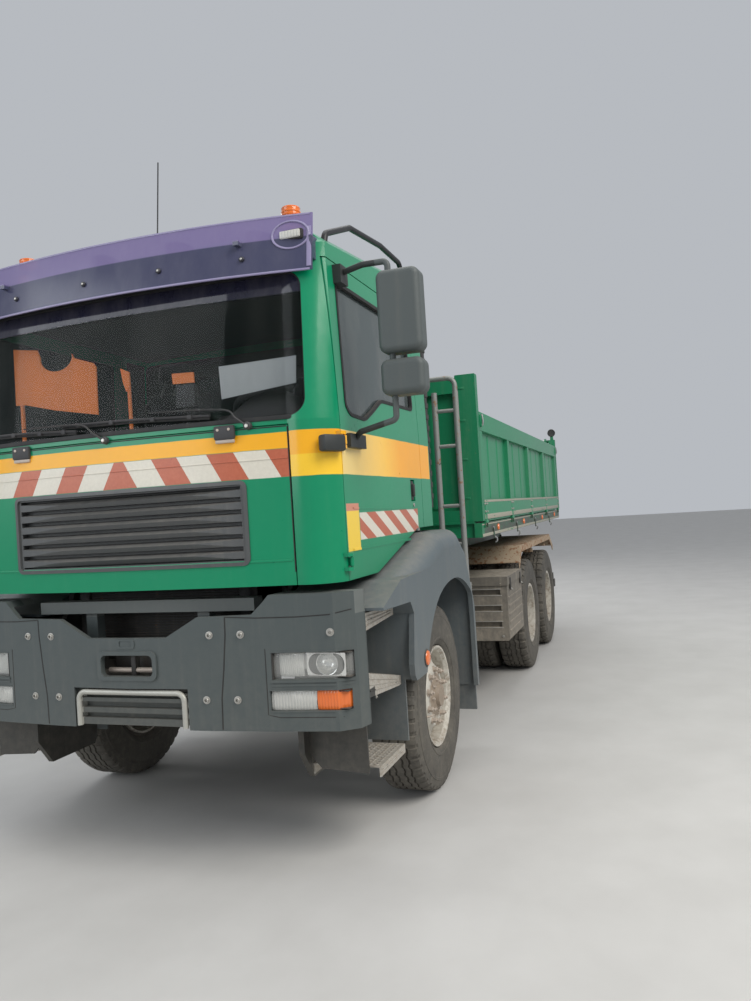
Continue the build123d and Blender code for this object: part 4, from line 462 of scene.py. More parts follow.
def brushed_relief(stretch):
    """The relief of brushed metal, drawn out along one way."""
    def relief(t):
        vector, *_ = t.place()
        return t.noise(t.scaled(vector, stretch), 1.0, 3.0, 0.6)
    return relief


def ribbed_steel(t, color):
    """Bare tread plate, rubbed bright on its raised edges."""
    vector, *_ = t.place()
    return t.mix(t.span(t.noise(vector, 55.0, 4.0, 0.7), 0.4, 0.7), color, (0.36, 0.31, 0.25))


def steps_with_painted_shade(t, color):
    """The alloy steps; their bracket plate and the side panel behind them are near-black painted
    shade.
    """
    _, x, y, z = t.place()
    plate = t.times(t.span(x, AXLE_1 + 1.105, AXLE_1 + 1.108), t.span(z, 0.862, 0.858))
    panel = t.span(t.math("ABSOLUTE", y), 0.8215, 0.8195)
    # Painted shade: near-black over the bracket plate and the inner side panel, where shadow falls
    return t.mix(t.either(plate, panel), ribbed_steel(t, color), (0.035, 0.037, 0.036))


def step_slats(t, color):
    """The folding step: pale tube in front, dark grooved slats behind it."""
    _, x, y, _ = t.place()
    slats = t.span(x, AXLE_1 + 1.4093, AXLE_1 + 1.4083)
    inner = t.span(t.math("ABSOLUTE", y), 0.290, 0.289)
    return t.mix(t.times(slats, inner), color, (0.075, 0.085, 0.083))


# Finishes, each with its colour, dust, rust and roughness, and then what is its own
M = {
    "cab": coat_material("cab_green", (0.001, 0.245, 0.112), 0.05, 0.0, 0.30, coat=0.22,
                         bump=0.04, paint=cab_paint, gloss=0.35),
    "body": coat_material("body_green", (0.006, 0.185, 0.080), 0.22, 0.18, 0.42, bump=0.25,
                          paint=grimy_edge),
    "side": coat_material("side_green", (0.008, 0.225, 0.098), 0.16, 0.14, 0.40, bump=0.25,
                          paint=faded_side),
    "bumper": coat_material("bumper_grey", (0.066, 0.082, 0.083), 0.14, 0.02, 0.50, bump=0.12,
                            paint=bumper_parts, relief=grain_relief(900.0)),
    "guard": coat_material("guard_grey", (0.100, 0.125, 0.138), 0.30, 0.0, 0.55, bump=0.10,
                           relief=grain_relief(1100.0)),
    "mirror": coat_material("mirror_grey", (0.078, 0.092, 0.092), 0.14, 0.0, 0.55, bump=0.15,
                            paint=mirror_parts, relief=grain_relief(1300.0)),
    "grille": coat_material("grille_grey", (0.080, 0.084, 0.086), 0.26, 0.0, 0.42, bump=0.10,
                            relief=grain_relief(1300.0)),
    "step": coat_material("step_alloy", (0.50, 0.48, 0.44), 0.22, 0.05, 0.5, metallic=0.35,
                          bump=0.3, paint=steps_with_painted_shade),
    "tyre": coat_material("tyre_rubber", (0.038, 0.037, 0.035), 0.55, 0.0, 0.78, bump=0.35,
                          paint=mud, relief=grain_relief(420.0),
                          dust_color=(0.24, 0.215, 0.175)),
    "rim": coat_material("rim_paint", (0.62, 0.60, 0.54), 0.45, 0.14, 0.45, bump=0.2,
                         paint=rusty_hub, dust_color=(0.30, 0.25, 0.19)),
    "chassis": coat_material("chassis_black", (0.022, 0.022, 0.022), 0.40, 0.10, 0.6, bump=0.3,
                             dust_color=(0.30, 0.27, 0.22)),
    "iron": coat_material("cast_iron", (0.045, 0.042, 0.038), 0.6, 0.25, 0.7, metallic=0.4,
                          bump=0.5, dust_color=(0.30, 0.26, 0.20)),
    "chrome": coat_material("chromed_rod", (0.62, 0.62, 0.63), 0.05, 0.0, 0.14, metallic=1.0,
                            bump=0.03),
    "black": coat_material("black_plastic", (0.018, 0.018, 0.019), 0.25, 0.0, 0.5, bump=0.12,
                           relief=grain_relief(1200.0)),
    "tube": coat_material("black_tube", (0.008, 0.008, 0.010), 0.03, 0.0, 0.45),
    "trim": coat_material("trim_plastic", (0.045, 0.045, 0.048), 0.12, 0.0, 0.6, bump=0.2,
                          relief=grain_relief(1500.0)),
    "worn_edge": coat_material("worn_edge", (0.34, 0.33, 0.27), 0.35, 0.22, 0.6, bump=0.3,
                               paint=scraped(0.9, (0.020, 0.200, 0.095))),
    "box_dusty": coat_material("box_dusty", (0.10, 0.095, 0.085), 0.9, 0.0, 0.8, bump=0.3),
    "bracket_dark": coat_material("bracket_dark", (0.020, 0.020, 0.030), 0.05, 0.0, 0.5),
    "seal": coat_material("rubber_seal", (0.010, 0.010, 0.010), 0.12, 0.0, 0.6),
    "alloy": coat_material("tank_alloy", (0.55, 0.55, 0.54), 0.4, 0.0, 0.35, metallic=0.85,
                           bump=0.12, relief=brushed_relief((4.0, 90.0, 240.0))),
    "beige": coat_material("rusty_beige", (0.40, 0.30, 0.20), 0.4, 0.36, 0.7, bump=0.4),
    "tube_steel": coat_material("worn_tube", (0.46, 0.46, 0.42), 0.25, 0.10, 0.45, metallic=0.35,
                                bump=0.15, paint=step_slats),
    "nut": coat_material("wheel_nut", (0.50, 0.43, 0.37), 0.40, 0.20, 0.55, metallic=0.3,
                         bump=0.3),
    "bolt": coat_material("zinc_bolt", (0.48, 0.47, 0.44), 0.25, 0.22, 0.42, metallic=0.8,
                          bump=0.15),
    "rack": coat_material("rack_tube", (0.25, 0.26, 0.25), 0.35, 0.30, 0.5, metallic=0.2,
                          bump=0.2, paint=scraped(0.5, (0.045, 0.040, 0.035))),
    "steel": coat_material("galvanised_steel", (0.34, 0.35, 0.35), 0.3, 0.12, 0.45,
                           metallic=0.7, bump=0.15),
    "fabric": coat_material("seat_fabric", (0.040, 0.042, 0.048), 0.10, 0.0, 0.9, bump=0.5,
                            relief=weave_relief(2200.0), sheen=0.3, size=0.0006),
    "orange_board": coat_material("orange_board", (1.0, 0.29, 0.075), 0.0, 0.0, 0.7),
    "paper": coat_material("faded_paper", (0.60, 0.64, 0.66), 0.05, 0.0, 0.9),
    "white": coat_material("reflector_white", (0.66, 0.66, 0.63), 0.2, 0.0, 0.35),
    "mirror_glass": coat_material("mirror_glass", (0.72, 0.74, 0.75), 0.03, 0.0, 0.04,
                                  metallic=1.0, bump=0.0),
    "bowl": coat_material("lamp_bowl", (0.80, 0.80, 0.78), 0.05, 0.0, 0.10, metallic=1.0,
                          bump=0.0),
    "amber": coat_material("amber_lens", (0.80, 0.165, 0.020), 0.10, 0.0, 0.18, coat=0.5),
    "red": coat_material("red_lens", (0.50, 0.020, 0.015), 0.15, 0.0, 0.2, coat=0.5),
    "glass": clear_material("window_glass", (0.022, 0.030, 0.028), 0.5, 0.03, tint=screen_tint,
                            gloss=0.35, film_share=0.10),
    "side_glass": clear_material("door_glass", (0.060, 0.078, 0.080), 0.90, 0.05, gloss=0.3,
                                 film_share=0.15),
    "dark_glass": clear_material("dark_glass", (0.020, 0.026, 0.024), 0.975, 0.05, gloss=0.3,
                                 film_share=0.10),
    "lining": coat_material("cab_lining", (0.060, 0.062, 0.062), 0.05, 0.0, 0.9, bump=0.2,
                            relief=grain_relief(1500.0)),
    "lens": clear_material("lamp_lens", (0.78, 0.79, 0.76), 0.26, 0.04),
    "ribbed": clear_material("ribbed_lens", (0.82, 0.82, 0.77), 0.62, 0.16),
    "visor": clear_material("visor_tint", (0.070, 0.050, 0.120), 0.80, 0.14,
                            tint=visor_painted_sky_and_shade, film_share=0.06),
    "visor_edge": clear_material("visor_edge", (0.30, 0.27, 0.44), 0.85, 0.10,
                                 film_share=0.10),
}

# The nodes of the frame that wear each finish
NODE_LOOKS = {
    "cab": ("cab_shell", "front_panel", "door_left", "door_right"),
    "body": ("bed_floor", "headboard", "tailgate"),
    "side": ("drop_side_left", "drop_side_right"),
    "bumper": ("bumper",),
    "guard": ("front_mudguards",),
    "mirror": ("mirrors_left", "mirrors_right"),
    "grille": ("grille",),
    "step": ("cab_steps",),
    "tube_steel": ("bumper_step",),
    "beige": ("rear_mudguards",),
    "chassis": ("frame", "springs", "rear_bar", "tilt_arms"),
    "rack": ("cab_rack",),
    "iron": ("driveline", "rear_axles", "front_axle", "knuckle_left", "knuckle_right",
             "tie_rod", "tip_barrel"),
    "chrome": ("tip_stage_1", "tip_stage_2", "tip_stage_3", "tip_stage_4"),
    "black": ("air_intake",),
    "box_dusty": ("battery_box",),
    "tube": ("roof_rails",),
    "trim": ("dashboard", "steering_wheel"),
    "alloy": ("fuel_tank", "air_tanks"),
    "amber": ("roof_lamps",),
    "glass": ("windscreen",),
    "side_glass": ("door_glass_left", "door_glass_right"),
    "lens": ("headlamps",),
    "visor": ("sun_visor",),
    "fabric": ("seats",),
}


def dress(node, look):
    """Gives a node of the frame its finish."""
    mesh = frame["nodes"][node].data
    mesh.materials.clear()
    mesh.materials.append(M[look])


for look, nodes in NODE_LOOKS.items():
    for node in nodes:
        dress(node, look)
for node in frame["nodes"]:
    if "_tyre" in node:
        dress(node, "tyre")
    elif "_rim" in node:
        dress(node, "rim")


# Mesh helpers
def finish_piece(name, bm, looks, body, crease=32.0):
    """Turns a bmesh into a piece with its materials, riding on a body."""
    bmesh.ops.recalc_face_normals(bm, faces=bm.faces)
    mesh = bpy.data.meshes.new(name)
    bm.to_mesh(mesh)
    bm.free()
    for look in looks.split():
        mesh.materials.append(M[look])
    mesh.shade_smooth()
    mesh.set_sharp_from_angle(angle=math.radians(crease))
    piece = bpy.data.objects.new(name, mesh)
    SCENE.collection.objects.link(piece)
    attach(piece, body)
    return piece


def mark(made, index):
    """Sets the material of the faces at some vertices."""
    for face in {f for v in made for f in v.link_faces}:
        face.material_index = index


def slab(bm, x0, x1, y0, y1, z0, z1, bevel=0.0, look=0, turn=None):
    """A block between two corners with rounded edges; turn is a matrix about its middle."""
    made = bmesh.ops.create_cube(bm, size=1.0)["verts"]
    size = Matrix.Diagonal((abs(x1 - x0), abs(y1 - y0), abs(z1 - z0), 1.0))
    place = Matrix.Translation(((x0 + x1) / 2, (y0 + y1) / 2, (z0 + z1) / 2))
    bmesh.ops.transform(bm, matrix=place @ (turn or Matrix()) @ size, verts=made)
    if bevel:
        edges = list({e for v in made for e in v.link_edges})
        faces = bmesh.ops.bevel(bm, geom=edges, offset=bevel, segments=2, profile=0.5,
                                affect="EDGES")["faces"]
        made = list({v for f in faces for v in f.verts})
    mark(made, look)
    return made


def aim(axis):
    """The turn that takes Z to an axis."""
    return Vector((0.0, 0.0, 1.0)).rotation_difference(Vector(axis).normalized()).to_matrix()


def line_of(bm, points, closed=False):
    """The few vertices that a shape starts from, joined in a row."""
    row = [bm.verts.new(p) for p in points]
    for a, b in zip(row, row[1:] + row[:1] if closed else row[1:]):
        bm.edges.new((a, b))
    return row


def draw_out(bm, row, points, closed=False):
    """Extrudes a row of vertices, puts the new row on its points and returns it."""
    pairs = zip(row, row[1:] + row[:1] if closed else row[1:])
    edges = [bm.edges.get(pair) for pair in pairs]
    fresh = set(bmesh.ops.extrude_edge_only(bm, edges=edges)["geom"])
    drawn = [next(e.other_vert(v) for e in v.link_edges if e.other_vert(v) in fresh) for v in row]
    for vert, point in zip(drawn, points):
        vert.co = point
    return drawn


def join_part(bm, part, look):
    """Adds a shape made in a bmesh of its own to a piece, in one material."""
    for face in part.faces:
        face.material_index = look
    mesh = bpy.data.meshes.new("part")
    part.to_mesh(mesh)
    part.free()
    bm.from_mesh(mesh)
    bpy.data.meshes.remove(mesh)


def lathe(bm, centre, axis, profile, sides=32, look=0, start=0.0):
    """A profile of (radius, offset) points spun about an axis; radius 0 closes an end."""
    part = bmesh.new()
    out = Vector((math.cos(start), math.sin(start), 0.0))
    line_of(part, [out * radius + Vector((0.0, 0.0, offset)) for radius, offset in profile])
    bmesh.ops.spin(part, geom=part.verts[:] + part.edges[:], cent=(0, 0, 0), axis=(0, 0, 1),
                   angle=2 * math.pi, steps=sides, use_merge=True)
    bmesh.ops.remove_doubles(part, verts=part.verts, dist=SAME)
    place = Matrix.Translation(centre) @ aim(axis).to_4x4()
    bmesh.ops.transform(part, matrix=place, verts=part.verts)
    join_part(bm, part, look)


def knob(bm, centre, axis, radius, height, sides=20, look=0, edge=0.25):
    """A round boss from its base point, with a softened top edge."""
    soft = min(radius, height) * edge
    lathe(bm, centre, axis, [(0.0, 0.0), (radius, 0.0), (radius, height - soft),
                             (radius - soft, height), (0.0, height)], sides, look)


def bolt(bm, centre, axis, radius, height, look=0, washer=True):
    """A hexagon head on its washer with a stud end."""
    foot = Vector(centre)
    along = Vector(axis).normalized()
    if washer:
        lathe(bm, foot, axis, [(0.0, 0.0), (radius * 1.45, 0.0), (radius * 1.45, height * 0.12),
                               (0.0, height * 0.12)], 18, look)
    base = foot + along * height * 0.12
    lathe(bm, base, axis, [(radius, 0.0), (radius, height * 0.62), (radius * 0.86, height * 0.7),
                           (0.0, height * 0.7)], 6, look)
    lathe(bm, base, axis, [(radius * 0.5, 0.0), (radius * 0.5, height),
                           (radius * 0.36, height * 1.06), (0.0, height * 1.06)], 10, look)


def smooth_path(points, steps=6):
    """A Catmull-Rom line through the points."""
    pts = [Vector(p) for p in points]
    pts = [pts[0] * 2 - pts[1]] + pts + [pts[-1] * 2 - pts[-2]]
    line = []
    for a, b, c, d in zip(pts, pts[1:], pts[2:], pts[3:]):
        for step in range(steps):
            t = step / steps
            line.append(0.5 * (2 * b + (c - a) * t + (2 * a - 5 * b + 4 * c - d) * t * t
                               + (3 * b - a - 3 * c + d) * t ** 3))
    line.append(pts[-2])
    return line


def pipe(bm, points, radius, sides=10, steps=6, look=0, flat=1.0, taper=1.0):
    """A round or flattened bar: a circle drawn out along a smooth line, closed at both ends."""
    line = smooth_path(points, steps) if steps else [Vector(p) for p in points]
    part = bmesh.new()
    ring = bmesh.ops.create_circle(part, cap_ends=True, radius=1.0, segments=sides)["verts"]
    circle = [v.co.copy() for v in ring]
    side = None
    for index, point in enumerate(line):
        ahead = line[min(index + 1, len(line) - 1)] - line[max(index - 1, 0)]
        ahead.normalize()
        if side is None:
            guide = Vector((0, 0, 1)) if abs(ahead.z) < 0.9 else Vector((1, 0, 0))
            side = ahead.cross(guide)
        side = (side - ahead * side.dot(ahead)).normalized()
        size = radius * (1.0 + (taper - 1.0) * index / (len(line) - 1))
        turn = Matrix((side.cross(ahead) * size * flat, side * size, ahead)).transposed()
        places = [point + turn @ p for p in circle]
        if index:
            ring = draw_out(part, ring, places, closed=True)
        else:
            for vert, place in zip(ring, places):
                vert.co = place
    part.faces.new(ring)
    join_part(bm, part, look)


def sheet_of(bm, rows, look=0, closed=False):
    """A sheet drawn out row by row over equal rows of points, each a loop if closed."""
    part = bmesh.new()
    row = line_of(part, rows[0], closed)
    for points in rows[1:]:
        row = draw_out(part, row, points, closed)
    bmesh.ops.remove_doubles(part, verts=part.verts, dist=SAME)
    join_part(bm, part, look)


def ribbon(bm, points, width, section, place, look=0, closed=False):
    """A strip laid on a surface along flat points; place(u, v, out) gives a point in space."""
    count = len(points)
    rows = []
    for index in range(count + (1 if closed else 0)):
        before = points[(index - 1) % count] if closed or index else points[0]
        after = points[(index + 1) % count] if closed or index < count - 1 else points[-1]
        along = (Vector(after) - Vector(before)).normalized()
        across = Vector((-along.y, along.x)) * width / 2
        here = Vector(points[index % count])
        rows.append([place(*(here + across * share), out) for share, out in section])
    sheet_of(bm, rows, look)


def flat_section(proud, edge, sink=0.004):
    """A ribbon's section as (share of its half width, height) points: flat with steep edges."""
    return (-1.0, -sink), (-edge, proud), (edge, proud), (1.0, -sink)


# Tyres with their real tread and ribbed walls, and the wheels' nuts
# Half a tyre's section, from its middle to the bead, as (distance from the middle, radius)
HALF_PROFILE = [
    (0.000, 0.552), (0.020, 0.552), (0.022, 0.539), (0.030, 0.539), (0.032, 0.552),
    (0.060, 0.552), (0.062, 0.539), (0.070, 0.539), (0.072, 0.552), (0.100, 0.552),
    (0.118, 0.546), (0.127, 0.540), (0.132, 0.525), (0.136, 0.508), (0.1395, 0.494),
    (0.1425, 0.492), (0.1445, 0.478), (0.1430, 0.476), (0.1465, 0.448), (0.1480, 0.415),
    (0.1470, 0.380), (0.1445, 0.352), (0.1470, 0.350), (0.1440, 0.338), (0.1410, 0.337),
    (0.1340, 0.322), (0.1250, 0.311), (0.1100, 0.3035), (0.1090, 0.290)]
# Pitches round the tyre, and from how far out its notches run and how deep they are
TREADS = {"front": (46, 0.086, 0.011), "rear": (36, 0.040, 0.014)}
ZIGZAG = 0.0045
# Rows of one pitch: share of it, sideways shift of the grooves, and whether it is notched
PITCH_ROWS = ((0.0, -ZIGZAG, False), (0.31, ZIGZAG, False), (0.60, ZIGZAG, False),
              (0.65, ZIGZAG, True), (0.80, -ZIGZAG, True), (0.95, -ZIGZAG, True),
              (1.0, -ZIGZAG, False))


def tyre_shell(bm, centre, kind):
    """One tyre: a pitch of its zigzag, notched tread drawn out, then copied round the wheel."""
    pitches, notch_from, depth = TREADS[kind]
    profile = [(-v, r) for v, r in HALF_PROFILE[:0:-1]] + HALF_PROFILE
    rows = []
    for share, sway, notched in PITCH_ROWS:
        angle = 2 * math.pi * share / pitches
        row = []
        for v, r in profile:
            across, radius = v, r
            if 0.015 < abs(v) < 0.08:
                across += sway
            if notched and notch_from < abs(v) < 0.131 and r > 0.53:
                radius -= depth
                if abs(v) > 0.12:
                    across -= math.copysign(0.004, v)
            row.append((radius * math.cos(angle), across, radius * math.sin(angle)))
        rows.append(row)
    part = bmesh.new()
    row = line_of(part, rows[0], closed=True)
    for points in rows[1:]:
        row = draw_out(part, row, points, closed=True)
    bmesh.ops.spin(part, geom=part.verts[:] + part.edges[:] + part.faces[:], cent=(0, 0, 0),
                   axis=(0, 1, 0), angle=2 * math.pi * (pitches - 1) / pitches,
                   steps=pitches - 1, use_duplicate=True)
    bmesh.ops.remove_doubles(part, verts=part.verts, dist=SAME * 10)
    bmesh.ops.translate(part, vec=centre, verts=part.verts)
    join_part(bm, part, 0)


def ring_of(x, radius, count, offset=0.0):
    """Points (x, z) evenly round a wheel's axis."""
    angles = [2 * math.pi * (number + offset) / count for number in range(count)]
    return [(x + radius * math.cos(a), WHEEL_Z + radius * math.sin(a)) for a in angles]


def wheel_bolts(bm, x, side, hub_y, nuts, cap):
    """The wheel nuts, the small bolts round the hub's cap and the tyre valve."""
    nuts_out, nuts_radius, nut, nut_height = nuts
    face_out, cap_out, cap_radius = cap
    for at_x, at_z in ring_of(x, nuts_radius, 10, 0.5):
        bolt(bm, (at_x, side * (hub_y + nuts_out), at_z), (0, side, 0), nut, nut_height)
    for at_x, at_z in ring_of(x, cap_radius, 8):
        bolt(bm, (at_x, side * (hub_y + cap_out), at_z), (0, side, 0), 0.009, 0.014)
    face_y = side * (hub_y + face_out)
    out = side * 0.03
    pipe(bm, [(x + 0.20, face_y - out, WHEEL_Z - 0.09), (x + 0.185, face_y + out, WHEEL_Z - 0.085),
              (x + 0.165, face_y + out * 2.2, WHEEL_Z - 0.078)], 0.006, 8, 4)


# Each wheel: tread, its tyres' y, hub y, the nuts' (out, ring, size, height) and the hub cap's
# (face, out, ring)
FRONT_KIT = ("front", (FRONT_WHEEL_Y,), FRONT_WHEEL_Y, (0.1045, 0.1585, 0.0155, 0.036),
             (0.075, 0.118, 0.094))
TWIN_KIT = ("rear", (TWIN_WHEEL_Y + 0.166, TWIN_WHEEL_Y - 0.166), TWIN_WHEEL_Y,
            (0.019, 0.178, 0.0165, 0.045), (0.06, 0.160, 0.118))

for hand, side in HANDS:
    for row, x, word, kit in (("front", AXLE_1, "tyre", FRONT_KIT),
                              ("middle", AXLE_2, "tyres", TWIN_KIT),
                              ("rear", AXLE_3, "tyres", TWIN_KIT)):
        tread, tyre_places, hub_y, nuts, cap = kit
        wheel = f"wheel_{row}_{hand}"
        bm = bmesh.new()
        for y in tyre_places:
            tyre_shell(bm, (x, side * y, WHEEL_Z), tread)
        piece = finish_piece(f"{word}_{row}_{hand}", bm, "tyre", wheel, 24.0)
        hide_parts(f"{row}_{word}_{hand}")
        bm = bmesh.new()
        wheel_bolts(bm, x, side, hub_y, nuts, cap)
        finish_piece(f"wheel_bolts_{row}_{hand}", bm, "nut", wheel)


# Bumper: its bolts, seams and towing slot
# The bumper's face seen from above, as (distance from the middle, x before the front axle)
FACE_PLAN = [(0.0, 1.430), (0.460, 1.412), (0.780, 1.384), (1.080, 1.346), (1.162, 1.280),
             (1.182, 1.200)]


def bumper_x(y, inset=0.0):
    """The bumper face's x at a distance from the middle."""
    side = abs(y)
    for (y0, x0), (y1, x1) in zip(FACE_PLAN, FACE_PLAN[1:]):
        if side <= y1:
            return AXLE_1 - inset + x0 + (x1 - x0) * (side - y0) / (y1 - y0)
    return AXLE_1 - inset + FACE_PLAN[-1][1]


def on_bumper(y, z, out):
    """A point so far out from the bumper's face."""
    return bumper_x(y) + out, y, z


def face_strip(bm, points, width, proud, look=0):
    """A narrow strip laid on the bumper face along (y, z) points."""
    line = []
    for (y0, z0), (y1, z1) in zip(points, points[1:]):
        steps = max(2, int(abs(y1 - y0) / 0.04) + 1)
        line += [(y0 + (y1 - y0) * k / steps, z0 + (z1 - z0) * k / steps) for k in range(steps)]
    line.append(points[-1])
    ribbon(bm, line, width, flat_section(proud, 0.9), on_bumper, look)


def ring_frame(bm, x0, x1, outer, inner, look=0):
    """A flat frame between two closed (y, z) outlines of equal length, with depth in x."""
    loops = ((x0, outer), (x1, outer), (x1, inner), (x0, inner))
    sheet_of(bm, [[(x, y, z) for y, z in line] for x, line in loops], look, closed=True)


def round_box(y0, y1, z0, z1, radius, steps=5):
    """A closed outline of a rectangle with round corners, as (y, z) points."""
    line = []
    for cy, cz, start in ((y1 - radius, z1 - radius, 0), (y0 + radius, z1 - radius, 90),
                          (y0 + radius, z0 + radius, 180), (y1 - radius, z0 + radius, 270)):
        for step in range(steps + 1):
            angle = math.radians(start + 90 * step / steps)
            line.append((cy + radius * math.cos(angle), cz + radius * math.sin(angle)))
    return line


def recessed_bolt(bm, centre, axis, radius, height, look=0):
    """A round bolt head with a hexagonal socket sunk into it."""
    lathe(bm, centre, axis, [(radius * 1.5, 0.0), (radius * 1.5, height * 0.25), (radius,
          height * 0.3), (radius, height * 0.85), (radius * 0.9, height), (radius * 0.58, height)],
          24, look)
    lathe(bm, centre, axis, [(radius * 0.60, height), (radius * 0.52, height * 0.35),
                             (0.0, height * 0.35)], 6, look)


bm = bmesh.new()
for side in SIDES:
    for y, z in ((0.464, 1.160), (0.623, 1.160), (0.432, 0.852), (0.592, 0.852), (1.060, 1.160)):
        lean = Vector((1.0, side * (bumper_x(y - 0.03) - bumper_x(y + 0.03)) / 0.06, 0.0))
        recessed_bolt(bm, (bumper_x(y) - 0.001, side * y, z), lean, 0.0125, 0.012)
finish_piece("bumper_bolts", bm, "bolt", "chassis")

bm = bmesh.new()
for side in SIDES:
    face_strip(bm, [(side * 0.548, 1.243), (side * 0.546, 1.16), (side * 0.530, 1.00),
                    (side * 0.512, 0.86), (side * 0.508, 0.712)], 0.006, 0.0012)
    face_strip(bm, [(side * 0.548, 1.244), (side * 0.70, 1.236), (side * 0.90, 1.235),
                    (side * 1.06, 1.241), (side * 1.15, 1.257)], 0.005, 0.0014)
    face_strip(bm, [(side * 0.742, 1.09), (side * 0.742, 0.782), (side * 0.80, 0.770),
                    (side * 1.10, 0.770)], 0.0035, 0.001)
finish_piece("bumper_seams", bm, "seal", "chassis")

# Towing slot: rolled lip, hidden bar and pin, and the latch above it
bm = bmesh.new()
ring_frame(bm, AXLE_1 + 1.40, AXLE_1 + 1.433, round_box(-0.172, 0.172, 0.942, 1.087, 0.034),
           round_box(-0.150, 0.150, 0.962, 1.067, 0.026))
ring_frame(bm, AXLE_1 + 1.40, AXLE_1 + 1.4325, round_box(-0.052, 0.052, 1.098, 1.146, 0.016),
           round_box(-0.036, 0.036, 1.108, 1.138, 0.010))
finish_piece("bumper_slot_frame", bm, "bumper black", "chassis")
bm = bmesh.new()
slab(bm, AXLE_1 + 1.300, AXLE_1 + 1.304, -0.155, 0.155, 0.955, 1.075, 0.001, 1)
slab(bm, AXLE_1 + 1.335, AXLE_1 + 1.375, -0.014, 0.014, 0.955, 1.075, 0.004, 1)
pipe(bm, [(AXLE_1 + 1.36, -0.150, 0.982), (AXLE_1 + 1.36, 0.150, 0.982)], 0.013, 14, 0, 0)
slab(bm, AXLE_1 + 1.395, AXLE_1 + 1.415, -0.034, 0.034, 1.109, 1.137, 0.004, 1)
knob(bm, (AXLE_1 + 1.412, 0.0, 1.123), (1, 0, 0), 0.008, 0.010, 12, 2)
finish_piece("bumper_slot_bar", bm, "nut black bolt", "chassis")


# Headlamps and lower lamps behind their lenses, and the lips round them
def lamp_block(bm, side, y0, y1, z0, z1, back, look):
    """The open housing of a lamp: four walls and a back, set behind the face."""
    wall = 0.003
    for a, b, c, d in ((y0, y0 + wall, z0, z1), (y1 - wall, y1, z0, z1), (y0, y1, z0, z0 + wall),
                       (y0, y1, z1 - wall, z1)):
        front = bumper_x((a + b) / 2) - 0.030
        slab(bm, back, front, side * a, side * b, c, d, 0.0, look)
    slab(bm, back - 0.004, back, side * y0, side * y1, z0, z1, 0.0, look)


def lens_sheet(bm, side, y0, y1, z0, z1, inset, look, flutes=0, depth=0.0012):
    """A lens that follows the bumper's face, fluted upright where asked."""
    columns, steps, crown = max(14, flutes * 4), 8, 0.006
    rows = []
    for row in range(steps + 1):
        v = row / steps
        bulge = crown * (1 - (2 * v - 1) ** 4)
        points = []
        for column in range(columns + 1):
            u = column / columns
            y = y0 + (y1 - y0) * u
            soft = crown * (1 - (2 * u - 1) ** 8)
            wave = depth * math.cos(2 * math.pi * u * flutes) if flutes else 0.0
            points.append((bumper_x(y) - inset + bulge + soft + wave, side * y,
                           z0 + (z1 - z0) * v))
        rows.append(points)
    sheet_of(bm, rows, look)


bm = bmesh.new()
for side in SIDES:
    back = AXLE_1 + 1.222
    lamp_block(bm, side, 0.775, 1.145, 0.950, 1.065, back, 0)
    lamp_block(bm, side, 0.760, 1.130, 0.805, 0.888, back, 0)
    slab(bm, back, AXLE_1 + 1.250, side * 0.790, side * 1.130, 0.957, 1.058, 0.006, 5)
    slab(bm, AXLE_1 + 1.248, AXLE_1 + 1.318, side * 0.917, side * 0.925, 0.953, 1.062, 0.002, 1)
    slab(bm, AXLE_1 + 1.248, AXLE_1 + 1.285, side * 0.800, side * 0.912, 0.955, 1.060, 0.012, 1)
    lens_sheet(bm, side, 0.796, 0.914, 0.953, 1.063, 0.040, 3, 12, 0.0016)
    ring_frame(bm, AXLE_1 + 1.270, AXLE_1 + 1.322,
               [(side * y, z) for y, z in round_box(0.924, 1.118, 0.951, 1.064, 0.012)],
               [(side * y, z) for y, z in round_box(0.931, 1.111, 0.958, 1.057, 0.045)], 1)
    axis = (1.0, side * 0.06, 0.0)
    lathe(bm, (AXLE_1 + 1.256, side * 1.018, 1.008), axis,
          [(0.0, 0.002), (0.020, 0.004), (0.038, 0.016), (0.048, 0.038), (0.0505, 0.060),
           (0.053, 0.061), (0.055, 0.058)], 36, 1)
    lathe(bm, (AXLE_1 + 1.264, side * 1.018, 1.008), axis,
          [(0.0, 0.052), (0.012, 0.051), (0.024, 0.045), (0.033, 0.033), (0.036, 0.012)], 28, 4)
    slab(bm, back, AXLE_1 + 1.290, side * 0.775, side * 0.965, 0.812, 0.880, 0.006, 1)
    slab(bm, back, AXLE_1 + 1.270, side * 0.985, side * 1.115, 0.812, 0.880, 0.006, 1)
    slab(bm, back, AXLE_1 + 1.300, side * 0.9715, side * 0.9775, 0.806, 0.886, 0.0, 0)
    lens_sheet(bm, side, 0.772, 1.148, 0.947, 1.068, 0.020, 2)
    lens_sheet(bm, side, 0.757, 0.974, 0.802, 0.891, 0.020, 3, 15, 0.0016)
    lens_sheet(bm, side, 0.977, 1.133, 0.802, 0.891, 0.020, 6, 11, 0.0016)
    slab(bm, AXLE_1 + 1.30, AXLE_1 + 1.385, side * 0.772, side * 0.776, 0.947, 1.068, 0.0, 0)
piece = finish_piece("headlamp_units", bm, "black bowl lens ribbed lens black amber", "chassis")
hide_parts("headlamps")

# Lips round the lamps: y from and to, height, width and how proud they stand
LIPS = ((0.766, 1.150, 0.9365, 0.011, 0.005), (0.766, 1.150, 0.9190, 0.011, 0.003),
        (0.757, 1.133, 0.897, 0.006, 0.003), (0.757, 1.133, 0.796, 0.006, 0.003),
        (0.770, 1.148, 1.0735, 0.006, 0.002))
bm = bmesh.new()
for side in SIDES:
    for y0, y1, z, width, proud in LIPS:
        face_strip(bm, [(side * y0, z), (side * 0.95, z), (side * y1, z)], width, proud)
finish_piece("lamp_lips", bm, "bumper", "chassis")

